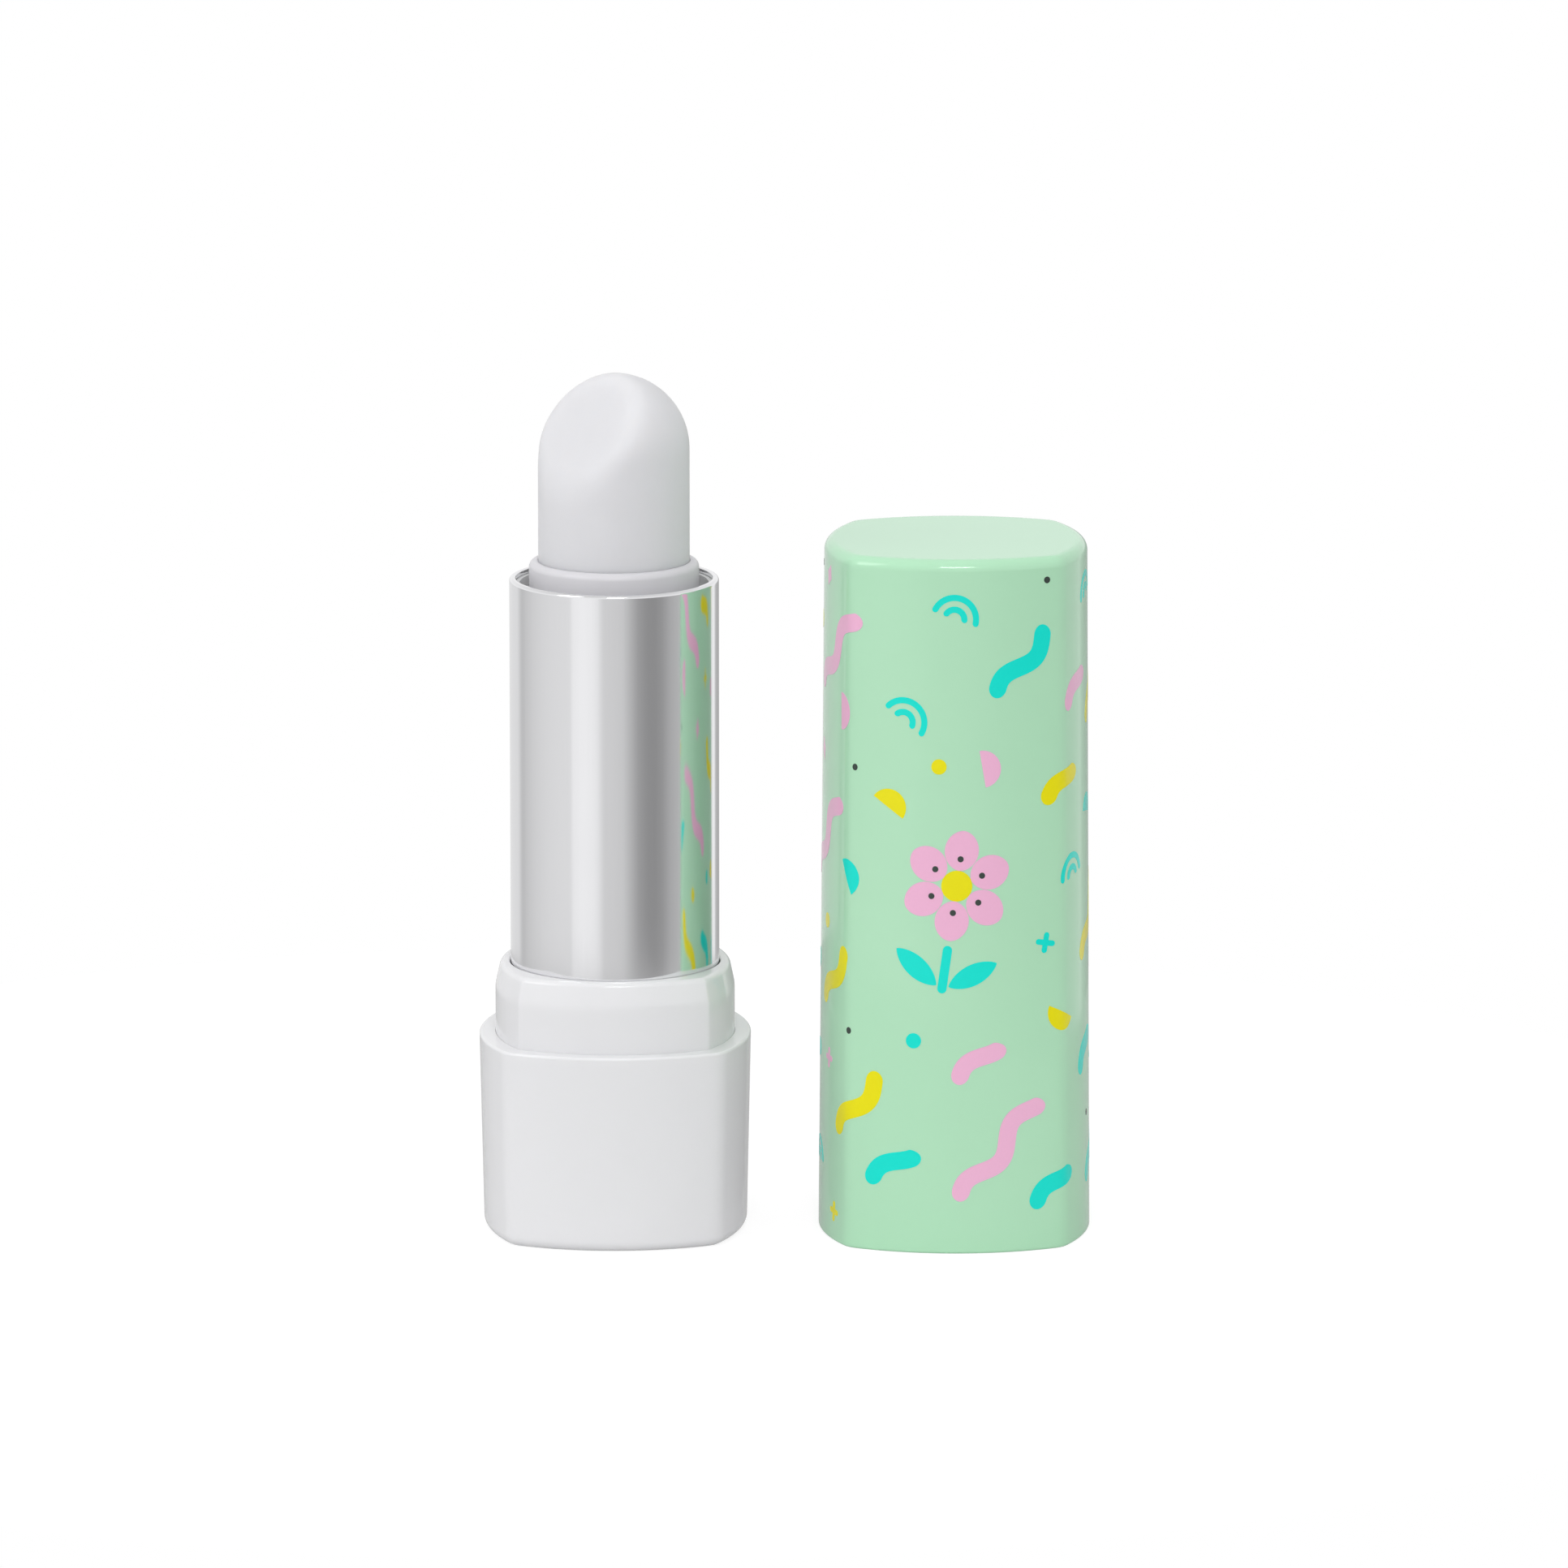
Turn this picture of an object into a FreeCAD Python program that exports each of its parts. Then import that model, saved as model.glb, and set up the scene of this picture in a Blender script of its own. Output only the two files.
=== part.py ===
# Twist-up lip balm stick, opened with its balm raised, and its pull-off cap standing beside it.
# Millimetres, +Z up, +X from the stick to its cap, origin in the middle of the base's underside.
import FreeCAD, Part
import math
import os

import Sketcher

doc = FreeCAD.newDocument("lip_balm_stick")
sheet = doc.addObject("Spreadsheet::Sheet", "Sizes")

# Driving dimensions. The pieces nest from the balm outwards, so each wall and clearance is set by itself.
SIZES = {
    # balm and the cup that carries it
    "balm_diameter": 12.1,
    "balm_reach": 15.05,  # tip above the cup's rim
    "slant_lift": 0.33,  # height above the tip at which the slanted face's plane crosses the axis
    "carrier_wall": 0.75,
    "carrier_length": 12.0,
    "carrier_reach": 1.4,  # rim above the metal tube when raised
    "carrier_round": 0.55,
    "cup_depth": 8.0,
    "cup_floor": 1.2,
    "skirt_wall": 1.0,
    "lug_diameter": 2.0,
    "lug_height": 1.3,  # lug axis above the carrier's lower end
    "lug_clearance": 0.12,
    # twist drive
    "stroke": 17.5,
    "lead": 14.0,  # rise of the balm in one turn
    "running_clearance": 0.1,
    "axial_clearance": 0.06,
    "fit_gap": 0.03,
    "guide_wall": 0.55,
    "guide_top_gap": 1.5,  # guide tube below the metal tube's mouth
    "root_wall": 1.85,
    "carrier_rest_gap": 1.5,  # lowered carrier above the guide tube's thick root
    "ring_thickness": 0.85,
    "sleeve_wall": 0.5,
    "flange_reach": 0.75,
    "flange_thickness": 1.2,
    # metal tube
    "tube_wall": 0.3,
    "tube_reach": 31.25,  # mouth above the collar
    "tube_seat": 4.75,  # depth in the collar
    "rim_reach": 0.2,  # rolled lip inside the wall
    "rim_thickness": 0.4,
    "rim_round": 0.28,
    # collar
    "collar_wall": 1.15,  # at the middle of a side
    "collar_side_radius": 15.1,
    "collar_height": 5.75,  # above the base's ledge
    "collar_round": 0.5,
    "lead_in_height": 1.95,
    "lead_in_width": 0.42,
    "mouth_chamfer": 0.18,
    "lip_thickness": 1.8,
    # base
    "ledge_width": 1.3,
    "side_radius": 18.0,
    "corner_radius": 2.2,
    "base_height": 16.0,
    "base_draw": 0.34,  # foot inside the ledge's edge, on each side
    "floor_thickness": 1.6,
    "foot_thickness": 1.2,
    "foot_round": 0.9,
    "edge_round": 0.22,
    # cap
    "cap_clearance": 0.1,
    "cap_ceiling_gap": 1.25,  # over the raised tip
    "cap_top_thickness": 1.5,
    "cap_draw": 0.43,  # top inside the mouth's edge, on each side
    "cap_edge_round": 0.9,
    "cap_spacing": 27.3,  # from the stick's axis to the cap's
    # past the surface that a cut starts from
    "overrun": 1.0,
}
for row, (alias, size) in enumerate(SIZES.items(), start=1):
    sheet.set(f"A{row}", alias)
    sheet.set(f"B{row}", str(size))
    sheet.setAlias(f"B{row}", alias)
doc.recompute()

# Radii, from the balm outwards
BALM_R = "Sizes.balm_diameter / 2"
CARRIER_R = f"({BALM_R} + Sizes.carrier_wall)"
GUIDE_BORE_R = f"({CARRIER_R} + Sizes.running_clearance)"
GUIDE_R = f"({GUIDE_BORE_R} + Sizes.guide_wall)"
SLEEVE_BORE_R = f"({GUIDE_R} + Sizes.running_clearance)"
SLEEVE_R = f"({SLEEVE_BORE_R} + Sizes.sleeve_wall)"
TUBE_BORE_R = f"({SLEEVE_R} + Sizes.fit_gap)"
TUBE_R = f"({TUBE_BORE_R} + Sizes.tube_wall)"
COLLAR_BORE_R = f"({TUBE_R} + Sizes.running_clearance)"
COLLAR_HALF = f"({COLLAR_BORE_R} + Sizes.collar_wall)"
BODY_HALF = f"({COLLAR_HALF} + Sizes.ledge_width)"
FLANGE_R = f"({SLEEVE_R} + Sizes.flange_reach)"
LUG_R = f"({SLEEVE_R} - Sizes.running_clearance)"
RING_OUTER_R = f"({SLEEVE_BORE_R} - Sizes.fit_gap)"
RING_MID_R = f"({RING_OUTER_R} - Sizes.ring_thickness / 2)"
GROOVE_R = f"({RING_OUTER_R} - Sizes.ring_thickness - Sizes.fit_gap)"

# Levels above the base's underside
COLLAR_Z = "(Sizes.floor_thickness + Sizes.foot_thickness)"
COLLAR_TOP_Z = "(Sizes.base_height + Sizes.collar_height)"
LIP_TOP_Z = f"({COLLAR_TOP_Z} - Sizes.tube_seat)"
FLANGE_TOP_Z = f"({LIP_TOP_Z} - Sizes.lip_thickness - Sizes.axial_clearance)"
SLEEVE_Z = f"({FLANGE_TOP_Z} - Sizes.flange_thickness)"
TUBE_Z = f"({LIP_TOP_Z} + Sizes.axial_clearance)"
TUBE_TOP_Z = f"({COLLAR_TOP_Z} + Sizes.tube_reach)"
SLEEVE_TOP_Z = f"({TUBE_TOP_Z} - Sizes.rim_thickness - Sizes.fit_gap)"
GUIDE_TOP_Z = f"({TUBE_TOP_Z} - Sizes.guide_top_gap)"
CARRIER_TOP_Z = f"({TUBE_TOP_Z} + Sizes.carrier_reach)"
CARRIER_Z = f"({CARRIER_TOP_Z} - Sizes.carrier_length)"
CUP_FLOOR_Z = f"({CARRIER_TOP_Z} - Sizes.cup_depth)"
LUG_UP_Z = f"({CARRIER_Z} + Sizes.lug_height)"
LUG_DOWN_Z = f"({LUG_UP_Z} - Sizes.stroke)"
ROOT_TOP_Z = f"({CARRIER_Z} - Sizes.stroke - Sizes.carrier_rest_gap)"
RING_Z = f"(({SLEEVE_Z} + {ROOT_TOP_Z}) / 2)"
TIP_Z = f"({CARRIER_TOP_Z} + Sizes.balm_reach)"

# Slots that the lugs run in
SLOT_WIDTH = "(Sizes.lug_diameter + 2 * Sizes.lug_clearance)"
SLOPE = f"(Sizes.lead / (2 * pi * {SLEEVE_BORE_R}))"
SPIRAL_WIDTH = f"({SLOT_WIDTH} * sqrt(1 + {SLOPE} ^ 2))"
SPIRAL_SPARE = f"({SLOT_WIDTH} / 2 * {SLOPE})"
SPIRAL_TURN = f"(90 - 360 * (Sizes.stroke + {SPIRAL_SPARE}) / Sizes.lead)"

# Cap
CAP_HEIGHT = f"({TIP_Z} - Sizes.base_height + Sizes.cap_ceiling_gap + Sizes.cap_top_thickness)"
CAP_WALL = "(Sizes.ledge_width - Sizes.cap_clearance)"

# Numbers that a sketch gives its axes and the points of each curve
H_AXIS, V_AXIS = range(-1, -3, -1)
START, END, CENTRE = range(1, 4)
UPWARDS = FreeCAD.Vector(0, 0, 1)
SLANT_FACING = FreeCAD.Vector(-1, -1, 1)  # the balm's slanted face looks to the front, left and up


def number(formula):
    """Value of a formula of the sheet's sizes."""
    return float(sheet.evalExpression(formula))


def new_body(label, lift="0", shift="0"):
    """Start a sub-part whose own frame stands at the given height and sideways place."""
    body = doc.addObject("PartDesign::Body", label)
    body.Label = label
    body.setExpression("Placement.Base.z", lift)
    body.setExpression("Placement.Base.x", shift)
    return body


def new_sketch(body, name, role, lift="0"):
    """Start a sketch on one of the body's own planes, raised along the plane's normal."""
    sketch = body.newObject("Sketcher::SketchObject", f"{body.Name}_{name}")
    plane = next(item for item in body.Origin.OriginFeatures if item.Role == role)
    sketch.AttachmentSupport = [(plane, "")]
    sketch.MapMode = "FlatFace"
    sketch.setExpression("AttachmentOffset.Base.z", lift)
    return sketch


def bind(sketch, kind, references, formula):
    """Add a constraint whose value follows a formula."""
    index = sketch.addConstraint(Sketcher.Constraint(kind, *references, number(formula)))
    sketch.setExpression(f"Constraints[{index}]", formula)


def place(sketch, curve, end, across, up):
    """Hold a curve's end or centre at two formulas measured from the sketch's origin."""
    for kind, axis, formula in (("DistanceX", V_AXIS, across), ("DistanceY", H_AXIS, up)):
        if formula == "0":
            sketch.addConstraint(Sketcher.Constraint("PointOnObject", curve, end, axis))
        else:
            bind(sketch, kind, (H_AXIS, START, curve, end), formula)


def bowed_square(sketch, half, side_radius, corner_radius="0"):
    """Draw a square with bowed sides, with round corners tangent to them or with crisp ones."""
    side, corner = number(side_radius), number(corner_radius)
    setback = f"({side_radius} - {half})"
    inset = number(setback)
    corner_place = (math.sqrt(2 * (side - corner) ** 2 - inset**2) - inset) / 2
    swing = math.atan2(corner_place, corner_place + inset)
    for quarter in range(4):
        facing = quarter * math.pi / 2
        turn = FreeCAD.Rotation(UPWARDS, math.degrees(facing))
        middle = turn.multVec(FreeCAD.Vector(-inset, 0, 0))
        circle = Part.Circle(middle, UPWARDS, side)
        sketch.addGeometry(Part.ArcOfCircle(circle, facing - swing, facing + swing))
        if corner:
            middle = turn.multVec(FreeCAD.Vector(corner_place, corner_place, 0))
            circle = Part.Circle(middle, UPWARDS, corner)
            sketch.addGeometry(Part.ArcOfCircle(circle, facing + swing, facing + math.pi / 2 - swing))
    count = sketch.GeometryCount
    joint = "Tangent" if corner else "Coincident"
    for curve in range(count):
        sketch.addConstraint(Sketcher.Constraint(joint, curve, END, (curve + 1) % count, START))
    step = count // 4
    origin = (H_AXIS, START)
    for quarter in range(4):
        curve = quarter * step
        middle = (curve, CENTRE)
        kind, axis = (("DistanceX", H_AXIS), ("DistanceY", V_AXIS))[quarter % 2]
        ends = middle + origin if quarter < 2 else origin + middle
        sketch.addConstraint(Sketcher.Constraint("PointOnObject", *middle, axis))
        bind(sketch, kind, ends, setback)
        bind(sketch, "Radius", (curve,), side_radius)
        if corner:
            bind(sketch, "Radius", (curve + 1,), corner_radius)


def outline(sketch, points, rounds=()):
    """Draw a closed outline through (across, up) formulas.

    A quarter arc, tangent to the upright line before it, leaves each point whose index is in rounds.
    """
    spots = [FreeCAD.Vector(number(across), number(up), 0) for across, up in points]
    count = len(spots)
    for index, spot in enumerate(spots):
        follower = spots[(index + 1) % count]
        if index in rounds:
            middle = FreeCAD.Vector(follower.x, spot.y, 0)
            circle = Part.Circle(middle, UPWARDS, spot.x - follower.x)
            sketch.addGeometry(Part.ArcOfCircle(circle, 0, math.pi / 2))
        else:
            sketch.addGeometry(Part.LineSegment(spot, follower))
    for index in range(count):
        follower = (index + 1) % count
        joint = "Tangent" if follower in rounds else "Coincident"
        sketch.addConstraint(Sketcher.Constraint(joint, index, END, follower, START))
    for index, (across, up) in enumerate(points):
        place(sketch, index, START, across, up)


def extrude(body, kind, sketch, length, name, taper=None, symmetric=False, reverse=False):
    """Add a Pad or a Pocket of a sketch, straight or drawn in by a taper angle."""
    feature = body.newObject(f"PartDesign::{kind}", f"{body.Name}_{name}")
    feature.Profile = sketch
    feature.setExpression("Length", length)
    feature.SideType = "Symmetric" if symmetric else "One side"
    feature.Reversed = reverse
    if taper:
        feature.setExpression("TaperAngle", taper)
    doc.recompute()
    return feature


def turn_about_axis(body, kind, sketch, name):
    """Add a full Revolution or Groove of a sketch about the stick's axis."""
    feature = body.newObject(f"PartDesign::{kind}", f"{body.Name}_{name}")
    feature.Profile = sketch
    feature.ReferenceAxis = (sketch, ["V_Axis"])
    feature.Angle = 360
    doc.recompute()
    return feature


def round_level_edges(body, base, level, radius, name):
    """Fillet the edges of a feature that lie flat at one level of the body's own frame."""
    height = number(level)
    slack = FreeCAD.Base.Precision.confusion()
    edges = []
    for index, edge in enumerate(base.Shape.Edges, start=1):
        if all(abs(vertex.Z - height) < slack for vertex in edge.Vertexes):
            edges.append(f"Edge{index}")
    fillet = body.newObject("PartDesign::Fillet", f"{body.Name}_{name}")
    fillet.Base = (base, edges)
    fillet.setExpression("Radius", radius)
    doc.recompute()
    return fillet


def make_base_shell():
    """Cup with bowed sides that holds the mechanism's foot and the collar."""
    body = new_body("base_shell")
    sketch = new_sketch(body, "outside", "XY_Plane", "Sizes.base_height")
    bowed_square(sketch, BODY_HALF, "Sizes.side_radius", "Sizes.corner_radius")
    taper = "-atan(Sizes.base_draw / Sizes.base_height)"
    block = extrude(body, "Pad", sketch, "Sizes.base_height", "block", taper=taper, reverse=True)
    foot = round_level_edges(body, block, "0", "Sizes.foot_round", "foot_round")
    ledge = round_level_edges(body, foot, "Sizes.base_height", "Sizes.edge_round", "ledge_round")
    sketch = new_sketch(body, "inside", "XY_Plane", "Sizes.base_height")
    gap = "Sizes.fit_gap"
    bowed_square(sketch, f"({COLLAR_HALF} + {gap})", f"(Sizes.collar_side_radius + {gap})")
    extrude(body, "Pocket", sketch, "(Sizes.base_height - Sizes.floor_thickness)", "cavity")
    return body


def make_collar():
    """Bowed-square collar: cap seat above the ledge, bore for the tube, lip that traps the sleeve."""
    body = new_body("collar", COLLAR_Z)
    straight = f"({COLLAR_TOP_Z} - {COLLAR_Z} - Sizes.lead_in_height)"
    top = f"({COLLAR_TOP_Z} - {COLLAR_Z})"
    sketch = new_sketch(body, "outside", "XY_Plane")
    bowed_square(sketch, COLLAR_HALF, "Sizes.collar_side_radius")
    extrude(body, "Pad", sketch, straight, "block")
    sketch = new_sketch(body, "lead_in_outside", "XY_Plane", straight)
    bowed_square(sketch, COLLAR_HALF, "Sizes.collar_side_radius")
    taper = "-atan(Sizes.lead_in_width / Sizes.lead_in_height)"
    lead_in = extrude(body, "Pad", sketch, "Sizes.lead_in_height", "lead_in", taper=taper)
    round_level_edges(body, lead_in, top, "Sizes.collar_round", "top_round")
    lip_bore = f"({SLEEVE_R} + Sizes.running_clearance)"
    chamber = f"({FLANGE_R} + Sizes.running_clearance)"
    lip_top = f"({LIP_TOP_Z} - {COLLAR_Z})"
    lip_foot = f"({lip_top} - Sizes.lip_thickness)"
    mouth = f"({COLLAR_BORE_R} + Sizes.mouth_chamfer)"
    above = f"({top} + Sizes.overrun)"
    sketch = new_sketch(body, "bores", "XZ_Plane")
    outline(sketch, [
        ("0", "-Sizes.overrun"),
        (chamber, "-Sizes.overrun"),
        (chamber, lip_foot),
        (lip_bore, lip_foot),
        (lip_bore, lip_top),
        (COLLAR_BORE_R, lip_top),
        (COLLAR_BORE_R, f"({top} - Sizes.mouth_chamfer)"),
        (mouth, top),
        (mouth, above),
        ("0", above),
    ])
    turn_about_axis(body, "Groove", sketch, "bore")
    return body


def make_guide_tube():
    """Inner tube on a square foot, with a groove for the ring and two straight slots for the lugs."""
    body = new_body("guide_tube", "Sizes.floor_thickness")
    sketch = new_sketch(body, "foot_outline", "XY_Plane")
    bowed_square(sketch, COLLAR_HALF, "Sizes.collar_side_radius")
    extrude(body, "Pad", sketch, "Sizes.foot_thickness", "foot")
    floor = "Sizes.floor_thickness"
    root_bore = f"({GUIDE_R} - Sizes.root_wall)"
    groove_half = "(Sizes.ring_thickness / 2 + Sizes.fit_gap)"
    groove_foot = f"({RING_Z} - {groove_half} - {floor})"
    groove_top = f"({RING_Z} + {groove_half} - {floor})"
    root_top = f"({ROOT_TOP_Z} - {floor})"
    top = f"({GUIDE_TOP_Z} - {floor})"
    sketch = new_sketch(body, "wall_section", "XZ_Plane")
    outline(sketch, [
        (root_bore, "0"),
        (GUIDE_R, "0"),
        (GUIDE_R, groove_foot),
        (GROOVE_R, groove_foot),
        (GROOVE_R, groove_top),
        (GUIDE_R, groove_top),
        (GUIDE_R, top),
        (GUIDE_BORE_R, top),
        (GUIDE_BORE_R, root_top),
        (root_bore, root_top),
    ])
    turn_about_axis(body, "Revolution", sketch, "wall")
    sketch = new_sketch(body, "slot", "XZ_Plane")
    half = f"({SLOT_WIDTH} / 2)"
    foot = f"({LUG_DOWN_Z} - {half} - {floor})"
    head = f"({LUG_UP_Z} + {half} - {floor})"
    outline(sketch, [(f"-{half}", foot), (half, foot), (half, head), (f"-{half}", head)])
    across = f"(2 * ({GUIDE_R} + Sizes.overrun))"
    extrude(body, "Pocket", sketch, across, "slots", symmetric=True)
    return body


def make_friction_ring():
    """Soft ring in the guide tube's groove, which rubs in the sleeve."""
    ring = doc.addObject("Part::Torus", "friction_ring")
    ring.Label = "friction_ring"
    ring.setExpression("Radius1", RING_MID_R)
    ring.setExpression("Radius2", "Sizes.ring_thickness / 2")
    ring.setExpression("Placement.Base.z", RING_Z)
    return ring


def make_spiral_sleeve():
    """Flanged sleeve whose two spiral slots lift the lugs as it turns."""
    body = new_body("spiral_sleeve", SLEEVE_Z)
    body.setExpression("Placement.Rotation.Angle", SPIRAL_TURN)
    top = f"({SLEEVE_TOP_Z} - {SLEEVE_Z})"
    sketch = new_sketch(body, "wall_section", "XZ_Plane")
    outline(sketch, [
        (SLEEVE_BORE_R, "0"),
        (FLANGE_R, "0"),
        (FLANGE_R, "Sizes.flange_thickness"),
        (SLEEVE_R, "Sizes.flange_thickness"),
        (SLEEVE_R, top),
        (SLEEVE_BORE_R, top),
    ])
    turn_about_axis(body, "Revolution", sketch, "wall")
    middle = f"({LUG_DOWN_Z} - {SPIRAL_SPARE} - {SLEEVE_Z})"
    foot = f"({middle} - {SPIRAL_WIDTH} / 2)"
    head = f"({middle} + {SPIRAL_WIDTH} / 2)"
    inside = f"({SLEEVE_BORE_R} - Sizes.running_clearance)"
    outside = f"({SLEEVE_R} + Sizes.running_clearance)"
    sketch = new_sketch(body, "slot_section", "XZ_Plane")
    outline(sketch, [(inside, foot), (outside, foot), (outside, head), (inside, head)])
    slot = body.newObject("PartDesign::SubtractiveHelix", "spiral_sleeve_slot")
    slot.Profile = sketch
    slot.ReferenceAxis = (sketch, ["V_Axis"])
    slot.Mode = "pitch-height-angle"
    slot.setExpression("Pitch", "Sizes.lead")
    slot.setExpression("Height", f"(Sizes.stroke + 2 * {SPIRAL_SPARE})")
    slot.LeftHanded = False
    doc.recompute()
    pair = body.newObject("PartDesign::PolarPattern", "spiral_sleeve_slots")
    pair.Originals = [slot]
    pair.Axis = (sketch, ["V_Axis"])
    pair.Angle = 360
    pair.Occurrences = 2
    body.Tip = pair
    doc.recompute()
    return body


def make_tube_shell():
    """Thin metal tube with a rolled mouth, pressed over the sleeve."""
    body = new_body("tube_shell", TUBE_Z)
    top = f"({TUBE_TOP_Z} - {TUBE_Z})"
    lip_foot = f"({top} - Sizes.rim_thickness)"
    lip = f"({TUBE_BORE_R} - Sizes.rim_reach)"
    sketch = new_sketch(body, "wall_section", "XZ_Plane")
    outline(sketch, [
        (TUBE_BORE_R, "0"),
        (TUBE_R, "0"),
        (TUBE_R, f"({top} - Sizes.rim_round)"),
        (f"({TUBE_R} - Sizes.rim_round)", top),
        (lip, top),
        (lip, lip_foot),
        (TUBE_BORE_R, lip_foot),
    ], rounds=(2,))
    turn_about_axis(body, "Revolution", sketch, "wall")
    return body


def make_carrier_cup():
    """Cup round the foot of the balm, on a skirt with two lugs."""
    body = new_body("carrier_cup", CARRIER_Z)
    top = "Sizes.carrier_length"
    sketch = new_sketch(body, "outside", "XZ_Plane")
    outline(sketch, [
        ("0", "0"),
        (CARRIER_R, "0"),
        (CARRIER_R, f"({top} - Sizes.carrier_round)"),
        (f"({CARRIER_R} - Sizes.carrier_round)", top),
        ("0", top),
    ], rounds=(2,))
    turn_about_axis(body, "Revolution", sketch, "block")
    sketch = new_sketch(body, "lug_outline", "XZ_Plane")
    middle = FreeCAD.Vector(0, number("Sizes.lug_height"), 0)
    lug = sketch.addGeometry(Part.Circle(middle, UPWARDS, number("Sizes.lug_diameter / 2")))
    place(sketch, lug, CENTRE, "0", "Sizes.lug_height")
    bind(sketch, "Radius", (lug,), "Sizes.lug_diameter / 2")
    extrude(body, "Pad", sketch, f"(2 * {LUG_R})", "lugs", symmetric=True)
    cup_floor = f"({top} - Sizes.cup_depth)"
    sketch = new_sketch(body, "cup_section", "XZ_Plane")
    above = f"({top} + Sizes.overrun)"
    outline(sketch, [("0", cup_floor), (BALM_R, cup_floor), (BALM_R, above), ("0", above)])
    turn_about_axis(body, "Groove", sketch, "cup")
    skirt_bore = f"({CARRIER_R} - Sizes.skirt_wall)"
    skirt_top = f"({cup_floor} - Sizes.cup_floor)"
    sketch = new_sketch(body, "skirt_section", "XZ_Plane")
    outline(sketch, [
        ("0", "-Sizes.overrun"),
        (skirt_bore, "-Sizes.overrun"),
        (skirt_bore, skirt_top),
        ("0", skirt_top),
    ])
    turn_about_axis(body, "Groove", sketch, "skirt")
    return body


def make_balm():
    """Cast balm, round-tipped with a slanted face, filling the cup."""
    body = new_body("balm", CUP_FLOOR_Z)
    tip = f"({TIP_Z} - {CUP_FLOOR_Z})"
    sketch = new_sketch(body, "section", "XZ_Plane")
    outline(sketch, [("0", "0"), (BALM_R, "0"), (BALM_R, f"({tip} - {BALM_R})"), ("0", tip)], rounds=(2,))
    turn_about_axis(body, "Revolution", sketch, "stick")
    sketch = new_sketch(body, "slant_outline", "XY_Plane")
    sketch.AttachmentOffset = FreeCAD.Placement(FreeCAD.Vector(), FreeCAD.Rotation(UPWARDS, SLANT_FACING))
    sketch.setExpression("AttachmentOffset.Base.z", f"({tip} + Sizes.slant_lift)")
    disc = sketch.addGeometry(Part.Circle(FreeCAD.Vector(), UPWARDS, number("Sizes.balm_diameter")))
    place(sketch, disc, CENTRE, "0", "0")
    bind(sketch, "Radius", (disc,), "Sizes.balm_diameter")
    extrude(body, "Pocket", sketch, BALM_R, "slant", reverse=True)
    return body


def make_cap_shell():
    """Pull-off cap with the base's outline, standing on its mouth beside the stick."""
    body = new_body("cap_shell", shift="Sizes.cap_spacing")
    sketch = new_sketch(body, "outside", "XY_Plane")
    bowed_square(sketch, BODY_HALF, "Sizes.side_radius", "Sizes.corner_radius")
    taper = f"-atan(Sizes.cap_draw / {CAP_HEIGHT})"
    block = extrude(body, "Pad", sketch, CAP_HEIGHT, "block", taper=taper)
    top = round_level_edges(body, block, CAP_HEIGHT, "Sizes.cap_edge_round", "top_round")
    round_level_edges(body, top, "0", "Sizes.edge_round", "mouth_round")
    sketch = new_sketch(body, "inside", "XY_Plane")
    bowed_square(
        sketch,
        f"({BODY_HALF} - {CAP_WALL})",
        f"(Sizes.side_radius - {CAP_WALL})",
        f"(Sizes.corner_radius - {CAP_WALL})",
    )
    extrude(body, "Pocket", sketch, f"({CAP_HEIGHT} - Sizes.cap_top_thickness)", "cavity", reverse=True)
    return body


def check(parts):
    """Stop if a feature failed, a cut missed its piece or a sub-part isn't one sound solid."""
    doc.recompute()
    kinds = ("Pocket", "Groove", "SubtractiveHelix", "PolarPattern")
    cuts = [f"PartDesign::{kind}" for kind in kinds]
    for item in doc.Objects:
        if {"Invalid", "Error"} & set(item.State):
            raise RuntimeError(f"{item.Label} failed: {item.State}")
        if item.TypeId in cuts and item.Shape.Volume >= item.BaseFeature.Shape.Volume:
            raise RuntimeError(f"{item.Label} cuts nothing")
    for part in parts:
        shape = part.Shape
        if shape.isNull() or not shape.isValid() or len(shape.Solids) != 1:
            raise RuntimeError(f"{part.Label} isn't one sound solid")


def report_closing(stick, cap):
    """Print what the cap would share with the stick, set down on the ledge over the raised balm."""
    closed = cap.Shape.copy()
    closed.translate(FreeCAD.Vector(-number("Sizes.cap_spacing"), 0, number("Sizes.base_height")))
    shared = sum(closed.common(part.Shape).Volume for part in stick)
    print(f"cap put on: shares {shared:.4f} mm3 with the stick")


stick = [
    make_base_shell(),
    make_collar(),
    make_guide_tube(),
    make_friction_ring(),
    make_spiral_sleeve(),
    make_tube_shell(),
    make_carrier_cup(),
    make_balm(),
]
cap = make_cap_shell()
parts = stick + [cap]
check(parts)
report_closing(stick, cap)

os.makedirs("parts", exist_ok=True)
for part in parts:
    part.Shape.exportStep(f"parts/{part.Label}.step")
    box = part.Shape.BoundBox
    print(f"{part.Label}: {part.Shape.Volume:.1f} mm3, z {box.ZMin:.2f} to {box.ZMax:.2f}")
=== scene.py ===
"""Looks of a twist-up lip balm stick, opened, with its printed cap standing beside it.

Lengths in the classes are in millimetres. Meshes are made in metres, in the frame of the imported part.
"""

import logging
import math
import random
from dataclasses import dataclass, field
from enum import Enum
from typing import Callable, Iterable, Sequence

import bmesh
import bpy
from mathutils import Matrix, Vector


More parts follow.
